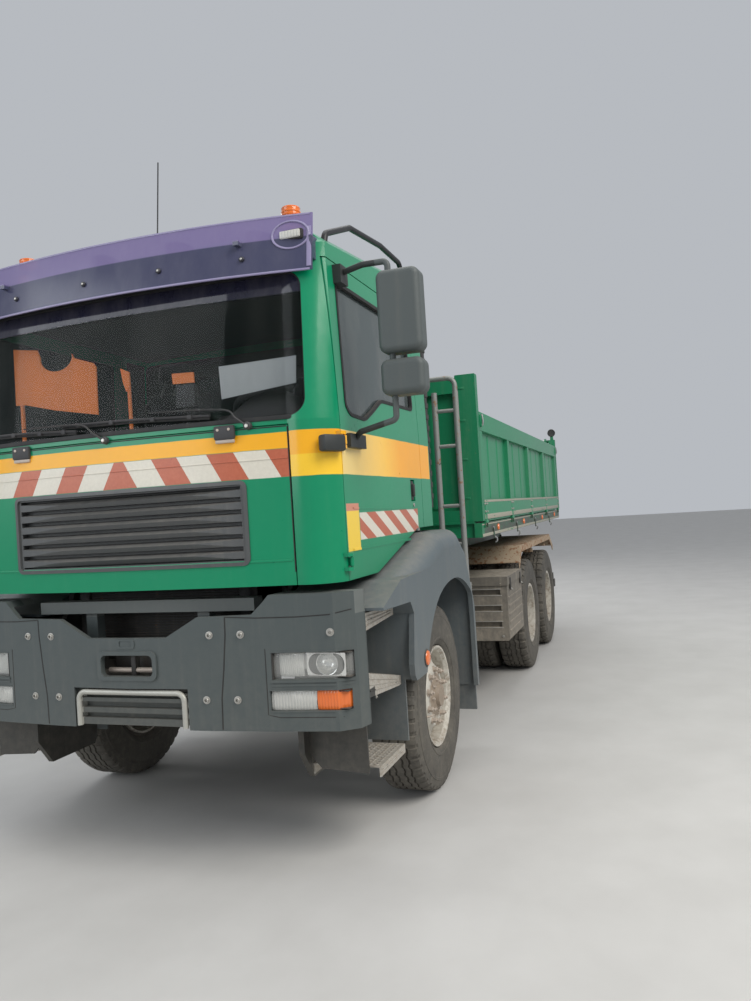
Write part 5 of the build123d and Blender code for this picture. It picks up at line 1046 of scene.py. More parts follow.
# Rusty plate and underrun bolts below the bumper
bm = bmesh.new()
for side in SIDES:
    slab(bm, AXLE_1 + 1.150, AXLE_1 + 1.330, side * 0.350, side * 0.520, 0.706, 0.714, 0.001)
    for x in (1.18, 1.24, 1.30):
        bolt(bm, (AXLE_1 + x, side * 0.44, 0.706), (0, 0, -1), 0.008, 0.010, 1)
finish_piece("underrun_plates", bm, "beige bolt", "chassis")


# Cab steps: perforated treads, ribbed faces, side lamp
def step_teeth(bm, side, x0, x1, y0, y1, far, near, look=0):
    """Raised grip rings in rows over a step's tread, each hole filled with a black disc of painted
    shade.
    """
    columns = int((x1 - x0) / 0.036)
    rows = int((y1 - y0) / 0.036)
    for i in range(columns):
        for j in range(rows):
            x = x0 + (i + 0.5) * (x1 - x0) / columns
            y = y0 + (j + 0.5) * (y1 - y0) / rows
            z = far + (near - far) * (x - x0) / (x1 - x0) - 0.0005
            lathe(bm, (x, side * y, z), (0, 0, 1), [(0.0135, 0.0), (0.0125, 0.003),
                  (0.0095, 0.0035), (0.0085, 0.0008)], 10, look)
            # Painted shade: a black disc stands for the dark seen through the open hole
            lathe(bm, (x, side * y, z), (0, 0, 1), [(0.0085, 0.0009), (0.0, 0.0009)], 10, look + 1)


# Each step: x from and to before the axle, its tread's height behind and in front, its drop
STEP_ROWS = ((0.760, 1.186, 1.200, 1.222, 0.084), (0.696, 1.186, 0.824, 0.934, 0.112),
             (0.696, 1.092, 0.462, 0.468, 0.052))
for hand, side in HANDS:
    bm = bmesh.new()
    for x0, x1, far, near, drop in STEP_ROWS:
        step_teeth(bm, side, AXLE_1 + x0 + 0.012, AXLE_1 + x1 - 0.012, 0.828, 1.160, far, near)
        for line in range(3):
            share = 0.22 + 0.26 * line
            a = (AXLE_1 + x0 + 0.045, side * 1.176, far - 0.046 * share * 0.9)
            b = (AXLE_1 + x1 - 0.006, side * 1.176, near - drop * share)
            pipe(bm, [a, b], 0.0035, 6, 0, 0)
        for x in (x0 + 0.09, x1 - 0.09):
            bolt(bm, (AXLE_1 + x, side * 1.175, far - 0.018), (0, side, 0), 0.006, 0.006, 2)
    finish_piece(f"step_treads_{hand}", bm, "step black bolt", "chassis")
    bm = bmesh.new()
    place = (AXLE_1 + 0.510, side * 1.2695, 0.880)
    lathe(bm, place, (0, side, 0), [(0.0, -0.004), (0.048, -0.004), (0.048, 0.004), (0.044, 0.007),
                                    (0.041, 0.007)], 28, 0)
    lathe(bm, place, (0, side, 0), [(0.041, 0.006), (0.038, 0.012), (0.026, 0.016), (0.0, 0.018)],
          28, 1)
    finish_piece(f"guard_lamp_{hand}", bm, "black amber", "chassis")


# Cab front and the windscreen's seal
def cab_x(y, z):
    """The cab front's x at a point, bowed and leaning back above the belt."""
    lean = min(max((z - BELT_Z) / 0.842, 0.0), 1.0)
    seam = 0.905 - 0.03 * lean
    side = abs(y)
    x = 1.400 - 0.100 * lean - 0.060 * (min(side, seam) / seam) ** 2
    if side > seam:
        share = min((side - seam) / 0.213, 1.0)
        x -= 0.128 * (1.0 - math.sqrt(max(0.0, 1.0 - share * share)))
    return AXLE_1 + x


def on_cab(y, z, out):
    """A point so far out from the cab's front."""
    return cab_x(y, z) + out, y, z


def front_ribbon(bm, points, width, proud, look=0, closed=False, sink=0.004):
    """A rounded strip laid on the cab's front along (y, z) points."""
    section = ((-1.0, -sink), (-0.85, proud * 0.8), (-0.4, proud), (0.4, proud),
               (0.85, proud * 0.8), (1.0, -sink))
    ribbon(bm, points, width, section, on_cab, look, closed)


def screen_line(grow, steps=8, spacing=14):
    """The windscreen's outline, grown outwards, as (y, z) points."""
    line = []
    y1, z0, z1 = 1.0 + grow, SCREEN_LOW - grow, 2.870 + grow
    radius = 0.08 + grow
    corners = round_box(-y1, y1, z0, z1, radius, steps)
    for a, b in zip(corners, corners[1:] + corners[:1]):
        gap = math.hypot(b[0] - a[0], b[1] - a[1])
        pieces = max(1, int(gap / (2.0 / spacing)))
        for k in range(pieces):
            line.append((a[0] + (b[0] - a[0]) * k / pieces, a[1] + (b[1] - a[1]) * k / pieces))
    return [(y * (1.0 - 0.020 * (z - SCREEN_LOW) / 0.698), z) for y, z in line]


bm = bmesh.new()
front_ribbon(bm, screen_line(0.004), 0.026, 0.006, closed=True, sink=0.010)
finish_piece("windscreen_seal", bm, "seal", "cab", 45.0)

# The front panel's pressed creases, the gaps round it and its hinges
bm = bmesh.new()
for z, ends, width, proud in ((1.9765, 0.897, 0.007, 0.0028), (1.497, 0.893, 0.012, 0.0030)):
    line = [(-ends + 2 * ends * k / 40, z) for k in range(41)]
    front_ribbon(bm, line, width, proud)
finish_piece("panel_creases", bm, "cab", "cab")

bm = bmesh.new()
line = [(-0.899 + 1.798 * k / 40, 2.1255) for k in range(41)]
front_ribbon(bm, line, 0.006, 0.0015)
for side in SIDES:
    front_ribbon(bm, [(side * PANEL_HALF, 2.124 - 0.062 * k) for k in range(12)], 0.005, 0.0012)
    front_ribbon(bm, [(side * 0.926, 1.880), (side * 0.938, 1.866), (side * 0.943, 1.83),
                      (side * 0.944, 1.76), (side * 0.944, 1.62), (side * 0.942, 1.53),
                      (side * 0.934, 1.495)], 0.014, 0.0012)
finish_piece("panel_gaps", bm, "seal", "cab")

bm = bmesh.new()
for y in (-0.612, 0.595):
    x = cab_x(y, 2.11)
    slab(bm, x - 0.004, x + 0.022, y - 0.055, y + 0.055, 2.082, 2.150, 0.010, 0)
    slab(bm, x - 0.002, x + 0.016, y - 0.050, y + 0.050, 2.066, 2.084, 0.005, 1)
    for off in (-0.03, 0.03):
        knob(bm, (x + 0.021, y + off, 2.13), (1, 0, 0), 0.007, 0.004, 12, 1)
finish_piece("panel_hinges", bm, "trim nut", "cab")

# Wipers: pivot, arm and blade with its rubber
bm = bmesh.new()
for pivot, elbow, tip, blade0, blade1 in (
        ((0.715, 2.138), (0.610, 2.222), (0.20, 2.246), (0.52, 2.205), (-0.33, 2.232)),
        ((-0.065, 2.134), (-0.195, 2.222), (-0.58, 2.238), (-0.24, 2.198), (-0.90, 2.226))):
    def out(point, lift):
        return (cab_x(*point) + lift, point[0], point[1])
    knob(bm, out(pivot, -0.004), (1, 0, 0.1), 0.019, 0.028, 20, 0)
    knob(bm, out(pivot, 0.022), (1, 0, 0.1), 0.010, 0.008, 6, 1)
    pipe(bm, [out(pivot, 0.016), out(((pivot[0] + elbow[0]) / 2, (pivot[1] + elbow[1]) / 2), 0.026),
              out(elbow, 0.030), out(((elbow[0] + tip[0]) / 2, (elbow[1] + tip[1]) / 2 + 0.004),
                                     0.032), out(tip, 0.026)], 0.0085, 10, 8, 0, 0.6, 0.6)
    mid = ((blade0[0] + blade1[0]) / 2, (blade0[1] + blade1[1]) / 2 + 0.004)
    pipe(bm, [out(blade0, 0.010), out(mid, 0.012), out(blade1, 0.010)], 0.008, 8, 10, 0, 0.8)
    pipe(bm, [out((blade0[0], blade0[1] - 0.012), 0.006), out((mid[0], mid[1] - 0.012), 0.006),
              out((blade1[0], blade1[1] - 0.012), 0.006)], 0.004, 6, 10, 2, 1.6)
    for share in (0.12, 0.36, 0.64, 0.88):
        y = blade0[0] + (blade1[0] - blade0[0]) * share
        z = blade0[1] + (blade1[1] - blade0[1]) * share
        x = cab_x(y, z)
        slab(bm, x + 0.004, x + 0.022, y - 0.012, y + 0.012, z - 0.012, z + 0.010, 0.003, 0)
finish_piece("wipers", bm, "trim bolt seal", "cab")

# Grille: its rounded frame
def spread(line):
    """The same closed outline with its long top and bottom runs cut into short steps."""
    result = []
    for a, b in zip(line, line[1:] + line[:1]):
        pieces = max(1, int(abs(a[0] - b[0]) / 0.08))
        result += [(a[0] + (b[0] - a[0]) * k / pieces, a[1] + (b[1] - a[1]) * k / pieces)
                   for k in range(pieces)]
    return result


bm = bmesh.new()
outer = spread(round_box(-0.686, 0.686, 1.481, 1.885, 0.034, 6))
inner = spread(round_box(-0.668, 0.668, 1.499, 1.867, 0.020, 6))
sheet_of(bm, [[on_cab(y, z, lift) for y, z in line] for line, lift in
              ((outer, -0.004), (outer, 0.006), (inner, 0.008), (inner, -0.010))], 0, closed=True)
finish_piece("grille_frame", bm, "grille", "cab")

# Behind the windscreen: an orange board on two poles, a small one, a tray and papers
BOARD_X = AXLE_1 + 1.118


def upright_board(bm, x, outline, thick, look):
    """A board facing forward: a (y, z) outline, filled and drawn out to its thickness."""
    part = bmesh.new()
    face = part.faces.new([part.verts.new((x, y, z)) for y, z in outline])
    made = bmesh.ops.extrude_face_region(part, geom=[face])["geom"]
    bmesh.ops.translate(part, vec=(thick, 0, 0),
                        verts=[v for v in made if isinstance(v, bmesh.types.BMVert)])
    join_part(bm, part, look)


notch = [(-0.575 + 0.108 * math.cos(math.radians(a)), 2.655 + 0.075 * math.sin(math.radians(a)))
         for a in range(172, 369, 14)]
board = ([(-0.865, 2.735), (-0.70, 2.712)] + notch
         + [(-0.455, 2.640), (-0.330, 2.598), (-0.313, 2.575), (-0.318, 2.315), (-0.60, 2.366),
            (-0.80, 2.415), (-0.868, 2.418)])
bm = bmesh.new()
upright_board(bm, BOARD_X, board, 0.008, 0)
for y, top, wide in ((-0.835, 2.44, 0.024), (-0.118, 2.50, 0.020)):
    pipe(bm, [(BOARD_X - 0.006, y, 2.17), (BOARD_X - 0.006, y, top)], wide / 2, 12, 0, 0)
upright_board(bm, BOARD_X, [(-0.158, 2.548), (-0.103, 2.522), (-0.104, 2.45),
                            (-0.128, 2.42), (-0.146, 2.47)], 0.008, 0)
upright_board(bm, BOARD_X, [(0.159, 2.483), (0.288, 2.478), (0.290, 2.424),
                            (0.162, 2.428)], 0.008, 0)
slab(bm, AXLE_1 + 1.08, BOARD_X, 0.165, 0.285, 2.30, 2.424, 0.012, 1)
upright_board(bm, BOARD_X + 0.004, [(0.445, 2.320), (0.438, 2.488), (0.874, 2.494),
                                    (0.866, 2.360)], 0.003, 2)
finish_piece("dash_boards", bm, "orange_board trim paper", "cab")

# The binnacle over the instruments, arched across and falling away to the front
bm = bmesh.new()
grid = []
for i in range(17):
    u = i / 16
    arch = 0.150 * math.sin(math.pi * u) ** 0.6
    grid.append([(AXLE_1 + 0.948 + 0.16 * v, 0.43 + 0.445 * u,
                  2.215 + arch * math.sin(math.pi * (0.5 + 0.5 * v)) ** 0.7)
                 for v in [j / 10 for j in range(11)]])
sheet_of(bm, grid)
finish_piece("binnacle", bm, "trim", "cab", 60.0)

# Doors: glass seals, handles and creases
# The door glass's outline as (x before the front axle, z)
WINDOW = [(1.117, 2.221), (1.060, 2.182), (0.850, 2.174), (0.700, 2.236), (0.560, 2.302),
          (-0.040, 2.310), (-0.044, 2.832), (1.100, 2.832)]


def side_y(z):
    """Half the cab's width at a height."""
    return CAB_HALF - 0.030 * min(max((z - BELT_Z) / 0.86, 0.0), 1.0)


def side_ribbon(bm, points, side, width, proud, look=0, closed=False, sink=0.004):
    """A rounded strip laid on the cab's side along (x, z) points from the front axle."""
    def on_side(x, z, out):
        return AXLE_1 + x, side * (side_y(z) + out), z
    ribbon(bm, points, width, flat_section(proud, 0.8, sink), on_side, look, closed)


def rounded(points, radius, steps=5):
    """A closed outline with every corner rounded."""
    line = []
    count = len(points)
    for index in range(count):
        here = Vector(points[index])
        back = (Vector(points[index - 1]) - here)
        on = (Vector(points[(index + 1) % count]) - here)
        reach = min(radius, back.length * 0.45, on.length * 0.45)
        a = here + back.normalized() * reach
        b = here + on.normalized() * reach
        for step in range(steps + 1):
            t = step / steps
            line.append(tuple(a * (1 - t) ** 2 + here * 2 * t * (1 - t) + b * t * t))
    return line


for hand, side in HANDS:
    body = f"door_{hand}"
    bm = bmesh.new()
    side_ribbon(bm, rounded(WINDOW, 0.035), side, 0.022, 0.004, 0, True, 0.012)
    finish_piece(f"door_glass_seal_{hand}", bm, "seal", body, 45.0)
    bm = bmesh.new()
    y = side * 1.108
    slab(bm, AXLE_1 + 0.034, AXLE_1 + 0.090, y - 0.012, y + 0.008, 1.752, 1.868, 0.006)
    slab(bm, AXLE_1 + 0.046, AXLE_1 + 0.078, y, y + side * 0.022, 1.772, 1.850, 0.007)
    knob(bm, (AXLE_1 + 0.062, side * CAB_HALF, 1.722), (0, side, 0), 0.012, 0.005, 18, 1)
    finish_piece(f"door_handle_{hand}", bm, "black bolt", body)
    bm = bmesh.new()
    side_ribbon(bm, [(0.1 * k, 1.700 + 0.002 * k) for k in range(12)], side, 0.010, 0.0025)
    side_ribbon(bm, [(0.17 + 0.08 * k, 1.520) for k in range(13)], side, 0.014, 0.003)
    finish_piece(f"door_creases_{hand}", bm, "cab", body)

# Visor: knobs, brackets behind it, oval cut-out with its marker lamp, rolled edges
def visor_x(y, z):
    """The visor's x at a point, bowed and leaning back."""
    return AXLE_1 + 1.4 - 0.044 * (z - 2.852) / 0.284 - 0.115 * (y / 1.055) ** 2


def on_visor(y, z, out):
    """A point so far out from the visor."""
    return visor_x(y, z) + out, y, z


def visor_ribbon(bm, points, width, proud, look=0, closed=False, sink=0.009):
    """A rounded strip wrapped over the visor along (y, z) points."""
    section = ((-1.0, -sink), (-1.0, proud * 0.5), (-0.6, proud), (0.6, proud),
               (1.0, proud * 0.5), (1.0, -sink))
    ribbon(bm, points, width, section, on_visor, look, closed)


bm = bmesh.new()
for y in (-1.0, -0.617, -0.157, 0.284, 0.717, 1.0):
    x = visor_x(y, 2.936)
    if abs(y) < 0.9:
        knob(bm, (x - 0.002, y, 2.936), (1, 0, 0.15), 0.013, 0.014, 20, 0)
        knob(bm, (x + 0.011, y, 2.937), (1, 0, 0.15), 0.006, 0.004, 6, 1)
for y in (-0.900, -0.470, -0.042, 0.384, 0.797):
    x = visor_x(y, 3.0) - 0.034
    fan = [(y - 0.082, 2.975), (y - 0.082, 3.085)]
    fan += [(y - 0.082 + 0.185 * math.sin(math.radians(a)), 2.975 + 0.115 * math.cos(
        math.radians(a))) for a in range(15, 91, 15)]
    upright_board(bm, x, fan, 0.004, 0)
    knob(bm, (x + 0.003, y, 3.030), (1, 0, 0), 0.010, 0.010, 14, 1)
finish_piece("visor_mounts", bm, "bracket_dark bolt", "cab")

bm = bmesh.new()
oval = [(0.952 + 0.088 * math.cos(2 * math.pi * k / 48), 3.034 + 0.068 * math.sin(
    2 * math.pi * k / 48)) for k in range(48)]
for sign in SIDES:
    visor_ribbon(bm, [(sign * y, z) for y, z in oval], 0.010, 0.005, 0, closed=True)
    end = [(sign * 1.040, 2.870 + 0.022 * k) for k in range(10)]
    visor_ribbon(bm, end, 0.022, 0.004, 0)
visor_ribbon(bm, [(-1.045 + 2.09 * k / 48, 2.8565) for k in range(49)], 0.010, 0.003, 0)
visor_ribbon(bm, [(-1.045 + 2.09 * k / 48, 3.131) for k in range(49)], 0.008, 0.002, 0)
finish_piece("visor_edges", bm, "visor_edge", "cab", 45.0)

bm = bmesh.new()
for sign in SIDES:
    x = visor_x(0.952, 3.034)
    y0, y1 = sorted((sign * 0.900, sign * 1.006))
    slab(bm, x - 0.040, x + 0.006, y0 - 0.008, y1 + 0.008, 3.008, 3.058, 0.008, 0)
    slab(bm, x + 0.004, x + 0.018, y0, y1, 3.014, 3.052, 0.007, 1)
    for share in [(k + 0.5) / 7 for k in range(7)]:
        y = y0 + (y1 - y0) * share
        slab(bm, x + 0.016, x + 0.0195, y - 0.0035, y + 0.0035, 3.018, 3.048, 0.001, 1)
finish_piece("visor_markers", bm, "black ribbed", "cab")

# What fills the space under the cab: engine with its fan and hoses
bm = bmesh.new()
slab(bm, AXLE_1 - 0.20, AXLE_1 + 0.90, -0.250, 0.250, 1.020, 1.430, 0.035, 1)
slab(bm, AXLE_1 - 0.10, AXLE_1 + 0.82, -0.180, 0.180, 1.425, 1.520, 0.025, 1)
for k in range(6):
    knob(bm, (AXLE_1 + 0.02 + 0.15 * k, 0.0, 1.518), (0, 0, 1), 0.045, 0.022, 20, 2)
lathe(bm, (AXLE_1 + 0.895, 0.0, 1.24), (1, 0, 0), [(0.0, 0.0), (0.09, 0.0), (0.09, 0.05),
                                                  (0.05, 0.07), (0.0, 0.07)], 28, 2)
for k in range(9):
    angle = 2 * math.pi * k / 9
    blade = Matrix.Rotation(angle, 4, "X") @ Matrix.Rotation(math.radians(24), 4, "Z")
    made = slab(bm, -0.004, 0.004, -0.030, 0.030, 0.06, 0.230, 0.002, 1)
    bmesh.ops.transform(bm, matrix=Matrix.Translation((AXLE_1 + 0.955, 0.0, 1.24)) @ blade,
                        verts=made)
for side in SIDES:
    pipe(bm, [(AXLE_1 + 1.03, side * 0.22, 1.44), (AXLE_1 + 0.96, side * 0.27, 1.46),
              (AXLE_1 + 0.80, side * 0.27, 1.40), (AXLE_1 + 0.60, side * 0.24, 1.36)], 0.032, 14, 6,
         0)
finish_piece("engine", bm, "black iron steel", "chassis")


# Tipping body: the drop sides' wear strips, pressed ribs, hinge straps and catches
TAIL_X = AXLE_3 - 1.600
(GATE_X0, _, _), (GATE_X1, _, SIDE_Z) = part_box("drop_side_left")
FLOOR_END_X = 1.255
STAKES = [GATE_X0 + 0.0475 + (GATE_X1 - GATE_X0 - 0.095) * k / 4 for k in range(5)]

def pressed_rib(bm, place, foot, crown, heights):
    """A shallow upright rib; place(across, raised) gives the x and y of one of its lines."""
    lines = ((-foot, 0), (-crown, 1), (crown, 1), (foot, 0))
    sheet_of(bm, [[(*place(across, raised), z) for z in heights] for across, raised in lines])


for hand, side in HANDS:
    bm = bmesh.new()
    for x in STAKES:
        for dx in (-0.034, 0.034):
            for z in (1.640, 1.700):
                bolt(bm, (x + dx, side * 1.2545, z), (0, side, 0), 0.008, 0.012, 1)
        slab(bm, x - 0.028, x + 0.028, side * 1.240, side * 1.258, HINGE_Z + 0.010, HINGE_Z + 0.150,
             0.003, 0)
    slab(bm, GATE_X0 + 0.004, GATE_X1 - 0.004, side * 1.197, side * BED_FACE_Y, SIDE_Z - 0.001,
         SIDE_Z + 0.007, 0.002, 0)
    for z, half in ((1.600, 0.019), (1.722, 0.009)):
        slab(bm, GATE_X0 + 0.002, GATE_X1 - 0.002, side * BED_FACE_Y, side * (BED_FACE_Y + 0.003),
             z - half, z + half, 0.001, 2)
    for a, b in zip(STAKES, STAKES[1:]):
        for share in (0.335, 0.665):
            x = a + (b - a) * share
            pressed_rib(bm, lambda across, raised: (x + across, side * (1.217 + 0.006 * raised)),
                        0.020, 0.010, (1.745, 1.80, 2.20, 2.262))
    for x in (GATE_X1 - 0.030, GATE_X0 + 0.030):
        slab(bm, x - 0.018, x + 0.018, side * 1.254, side * 1.268, 2.300, 2.395, 0.004, 0)
        pipe(bm, [(x, side * 1.268, 2.31), (x, side * 1.276, 2.34), (x, side * 1.270, 2.40)], 0.008,
             10, 4, 3)
    finish_piece(f"side_details_{hand}", bm, "side bolt worn_edge steel", f"side_{hand}")

# The body's edge: hinge plates, latches, reflectors and the work lamps on its rear posts
bm = bmesh.new()
for side in SIDES:
    for x in STAKES:
        slab(bm, x - 0.060, x + 0.060, side * 1.160, side * 1.240, 1.500, 1.548, 0.004, 0)
        for dx in (-0.045, 0.045):
            slab(bm, x + dx - 0.006, x + dx + 0.006, side * 1.236, side * 1.256, 1.515, 1.568, 0.002,
                 0)
    for x in (STAKES[4] - 0.30, STAKES[3] - 0.25, STAKES[2] - 0.25, STAKES[1] - 0.25):
        knob(bm, (x, side * 1.243, 1.500), (0, side, 0), 0.014, 0.010, 16, 1)
        slab(bm, x - 0.016, x + 0.016, side * 1.245, side * 1.253, 1.415, 1.505, 0.003, 0)
        pipe(bm, [(x, side * 1.252, 1.430), (x, side * 1.268, 1.418), (x, side * 1.270, 1.395),
                  (x, side * 1.256, 1.385)], 0.007, 10, 5, 1)
    for y, low, high in ((1.2460, 1.446, 1.470), (1.2452, 1.536, 1.546)):
        slab(bm, TAIL_X + 0.080, FLOOR_END_X, side * 1.2430, side * y, low, high, 0.001, 2)
    for x in (0.6, -0.8, -2.2, -3.4):
        lathe(bm, (x, side * 1.2435, 1.500), (0, side, 0), [(0.0, 0.012), (0.022, 0.010),
              (0.026, 0.004), (0.028, 0.0)], 24, 3)
    x, z = TAIL_X + 0.100, 2.530
    slab(bm, x - 0.020, x + 0.020, side * 1.195, side * 1.235, z - 0.025, z + 0.035, 0.004, 0)
    lathe(bm, (x - 0.035, side * 1.215, z + 0.078), (1, 0, 0),
          [(0.0, 0.0), (0.042, 0.004), (0.050, 0.020), (0.052, 0.060), (0.047, 0.070),
           (0.044, 0.066), (0.0, 0.062)], 28, 4)
    knob(bm, (x + 0.010, side * 1.215, z + 0.030), (0, 0, 1), 0.010, 0.022, 12, 1)
finish_piece("bed_edge_details", bm, "body steel worn_edge amber black", "bed")

# Headboard: pressed ribs, cap strip and the grab step
bm = bmesh.new()
for side in SIDES:
    slab(bm, 1.182, 1.2625, side * 1.100, side * 1.2545, 2.699, 2.706, 0.002, 0)
    for z in (1.75, 2.05, 2.35, 2.60):
        slab(bm, 1.262, 1.268, side * 1.118, side * 1.168, z - 0.009, z + 0.009, 0.002, 0)
slab(bm, 1.182, 1.253, -1.096, 1.096, 2.679, 2.688, 0.002, 0)
for y in (-0.88, -0.525, -0.175, 0.175, 0.525, 0.88):
    pressed_rib(bm, lambda across, raised: (1.203 + 0.008 * raised, y + across), 0.035, 0.018,
                (1.68, 1.74, 2.48, 2.55))
finish_piece("headboard_ribs", bm, "body", "bed")

# Tailgate: pressed ribs, hinge washers and its latch claws
bm = bmesh.new()
for y in (-0.84, -0.28, 0.28, 0.84):
    pressed_rib(bm, lambda across, raised: (TAIL_X + 0.036 - 0.008 * raised, y + across), 0.06,
                0.04, (1.72, 1.78, 2.22, 2.29))
for side in SIDES:
    y = side * 1.118
    knob(bm, (TAIL_X + 0.030, y - side * 0.012, 2.500), (0, -side, 0), 0.030, 0.010, 24, 1)
    slab(bm, TAIL_X - 0.004, TAIL_X + 0.004, y - 0.03, y + 0.03, 1.580, 1.640, 0.003, 1)
    for z in (1.60, 1.66, 2.33, 2.39):
        bolt(bm, (TAIL_X + 0.002, y, z), (-1, 0, 0), 0.009, 0.012, 1)
finish_piece("tailgate_details", bm, "body bolt", "tailgate")

# Rear lamps, reflectors, blank plate and the bolts of the rear beam
BAR_X = AXLE_3 - 1.350
bm = bmesh.new()
for side in SIDES:
    x = BAR_X - 0.079
    slab(bm, x - 0.012, x + 0.002, side * 0.770, side * 1.120, 0.540, 0.690, 0.006, 0)
    for y0, y1, look in ((0.780, 0.870, 3), (0.876, 0.985, 2), (0.991, 1.110, 1)):
        slab(bm, x - 0.026, x - 0.010, side * y0, side * y1, 0.550, 0.680, 0.006, look)
        for k in range(8):
            z = 0.560 + 0.0145 * k
            slab(bm, x - 0.0285, x - 0.025, side * (y0 + 0.008), side * (y1 - 0.008), z, z + 0.007,
                 0.001, look)
    lathe(bm, (BAR_X - 0.051, side * 0.55, 0.570), (-1, 0, 0), [(0.036, 0.0), (0.036, 0.008),
          (0.032, 0.010), (0.0, 0.012)], 3, 2, math.pi / 2)
slab(bm, BAR_X - 0.056, BAR_X - 0.050, -0.26, 0.26, 0.515, 0.625, 0.004, 4)
for side in SIDES:
    for y in (0.20, 0.28):
        for z in (0.62, 0.76):
            bolt(bm, (AXLE_3 - 1.131, side * (y - 0.04), z), (-1, 0, 0), 0.012, 0.018, 5)
finish_piece("rear_lamps", bm, "black red red amber white bolt", "chassis")

# Chassis rails: rivet rows, brake chambers and air lines, each given by (x, z) points and a radius
AIR_LINES = (([(2.0, 0.955), (1.2, 0.960), (0.0, 0.950), (-1.4, 0.958), (-3.2, 0.952)], 0.008),
             ([(2.0, 0.975), (0.6, 0.980), (-0.9, 0.974), (-3.1, 0.972)], 0.006))
bm = bmesh.new()
for side in SIDES:
    for x in [2.45 - 0.155 * k for k in range(38)]:
        for z in (0.850, 1.050):
            knob(bm, (x, side * 0.3822, z), (0, side, 0), 0.010, 0.007, 10, 0)
    for x in (AXLE_2, AXLE_3):
        lathe(bm, (x + 0.22, side * 0.47, 0.66), (1, 0, 0.1),
              [(0.0, 0.0), (0.060, 0.0), (0.074, 0.02), (0.076, 0.055), (0.080, 0.060),
               (0.080, 0.070), (0.074, 0.078), (0.070, 0.15), (0.058, 0.165), (0.0, 0.168)], 26, 1)
        pipe(bm, [(x + 0.36, side * 0.47, 0.70), (x + 0.42, side * 0.45, 0.80),
                  (x + 0.40, side * 0.42, 0.93), (x + 0.36, side * 0.392, 0.98)], 0.009, 8, 6, 2)
    for line, radius in AIR_LINES:
        pipe(bm, [(x, side * RAIL_LINE_Y, z) for x, z in line], radius, 8, 8, 2)
finish_piece("chassis_fittings", bm, "bolt iron black", "chassis")

# Battery box: lid catches, louvres and dirty ledges
bm = bmesh.new()
BOX_X0, BOX_X1 = AXLE_1 - 2.980, AXLE_1 - 2.200
for x in (BOX_X0 + 0.12, BOX_X1 - 0.12):
    slab(bm, x - 0.020, x + 0.020, 1.2515, 1.262, 0.930, 1.040, 0.004, 1)
    pipe(bm, [(x - 0.014, 1.262, 0.945), (x, 1.272, 0.935), (x + 0.014, 1.262, 0.945)], 0.005, 8,
         4, 2)
for k in range(5):
    z = 0.56 + 0.072 * k
    slab(bm, BOX_X0 + 0.04, BOX_X1 - 0.04, 1.2440, 1.2500, z, z + 0.028, 0.003, 0)
for z in (0.620, 0.760, 0.900):
    slab(bm, BOX_X1 - 0.004, BOX_X1 + 0.003, 0.70, 1.195, z - 0.008, z - 0.001, 0.001, 2)
    slab(bm, BOX_X1 - 0.004, BOX_X1 + 0.003, 0.70, 1.195, z + 0.047, z + 0.054, 0.001, 2)
for y in (0.70, 0.94, 1.19):
    for z in (0.54, 1.00):
        bolt(bm, (BOX_X1 + 0.002, y, z), (1, 0, 0), 0.008, 0.012, 2)
finish_piece("battery_box_fittings", bm, "box_dusty black bolt", "chassis")
# Fuel tank: cap, straps' bolts and ribs
bm = bmesh.new()
(TANK_X0, _, _), (TANK_X1, _, TANK_TOP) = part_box("fuel_tank")
knob(bm, (TANK_X1 - 0.130, -1.095, TANK_TOP), (0, 0, 1), 0.060, 0.028, 28, 1)
for k in range(12):
    angle = 2 * math.pi * k / 12
    grip = (TANK_X1 - 0.130 + 0.058 * math.cos(angle), -1.095 + 0.058 * math.sin(angle),
            TANK_TOP + 0.002)
    knob(bm, grip, (0, 0, 1), 0.007, 0.024, 8, 1)
for x in (TANK_X0 + 0.30, TANK_X1 - 0.30):
    bolt(bm, (x, -1.2525, 0.76), (0, -1, 0), 0.010, 0.020, 2)
    slab(bm, x - 0.026, x + 0.026, -1.256, -1.250, 0.70, 0.86, 0.002, 2)
for x in (TANK_X0 + 0.02, TANK_X1 - 0.02, (TANK_X0 + TANK_X1) / 2):
    pipe(bm, [(x, -1.2462, 0.60), (x, -1.2468, 0.80), (x, -1.2462, 0.99)], 0.004, 8, 4, 0)
finish_piece("fuel_tank_fittings", bm, "alloy black steel", "chassis")
# Air tanks: ends and straps
bm = bmesh.new()
for y in (0.560, 0.830):
    for x, out in ((AXLE_1 - 1.98, -1), (AXLE_1 - 1.08, 1)):
        lathe(bm, (x, y, 0.900), (out, 0, 0), [(0.1175, -0.002), (0.112, 0.014), (0.088, 0.027),
              (0.050, 0.034), (0.022, 0.035), (0.020, 0.048), (0.0, 0.048)], 30, 0)
    for x in (AXLE_1 - 1.82, AXLE_1 - 1.24):
        lathe(bm, (x - 0.018, y, 0.900), (1, 0, 0), [(0.1175, 0.0), (0.1215, 0.002), (0.1215, 0.034),
              (0.1175, 0.036)], 36, 1)
finish_piece("air_tank_ends", bm, "chassis steel", "chassis")

# The louvred top of the air intake
bm = bmesh.new()
for k in range(6):
    slab(bm, AXLE_1 - 0.545, AXLE_1 - 0.419, 0.950, 1.086, 2.868 + 0.017 * k, 2.876 + 0.017 * k, 0.003,
         0)
slab(bm, AXLE_1 - 0.552, AXLE_1 - 0.412, 0.942, 1.094, 2.968, 2.992, 0.010, 0)
slab(bm, AXLE_1 - 0.530, AXLE_1 - 0.434, 0.965, 1.071, 2.850, 2.970, 0.006, 0)
finish_piece("snorkel_top", bm, "black", "cab")
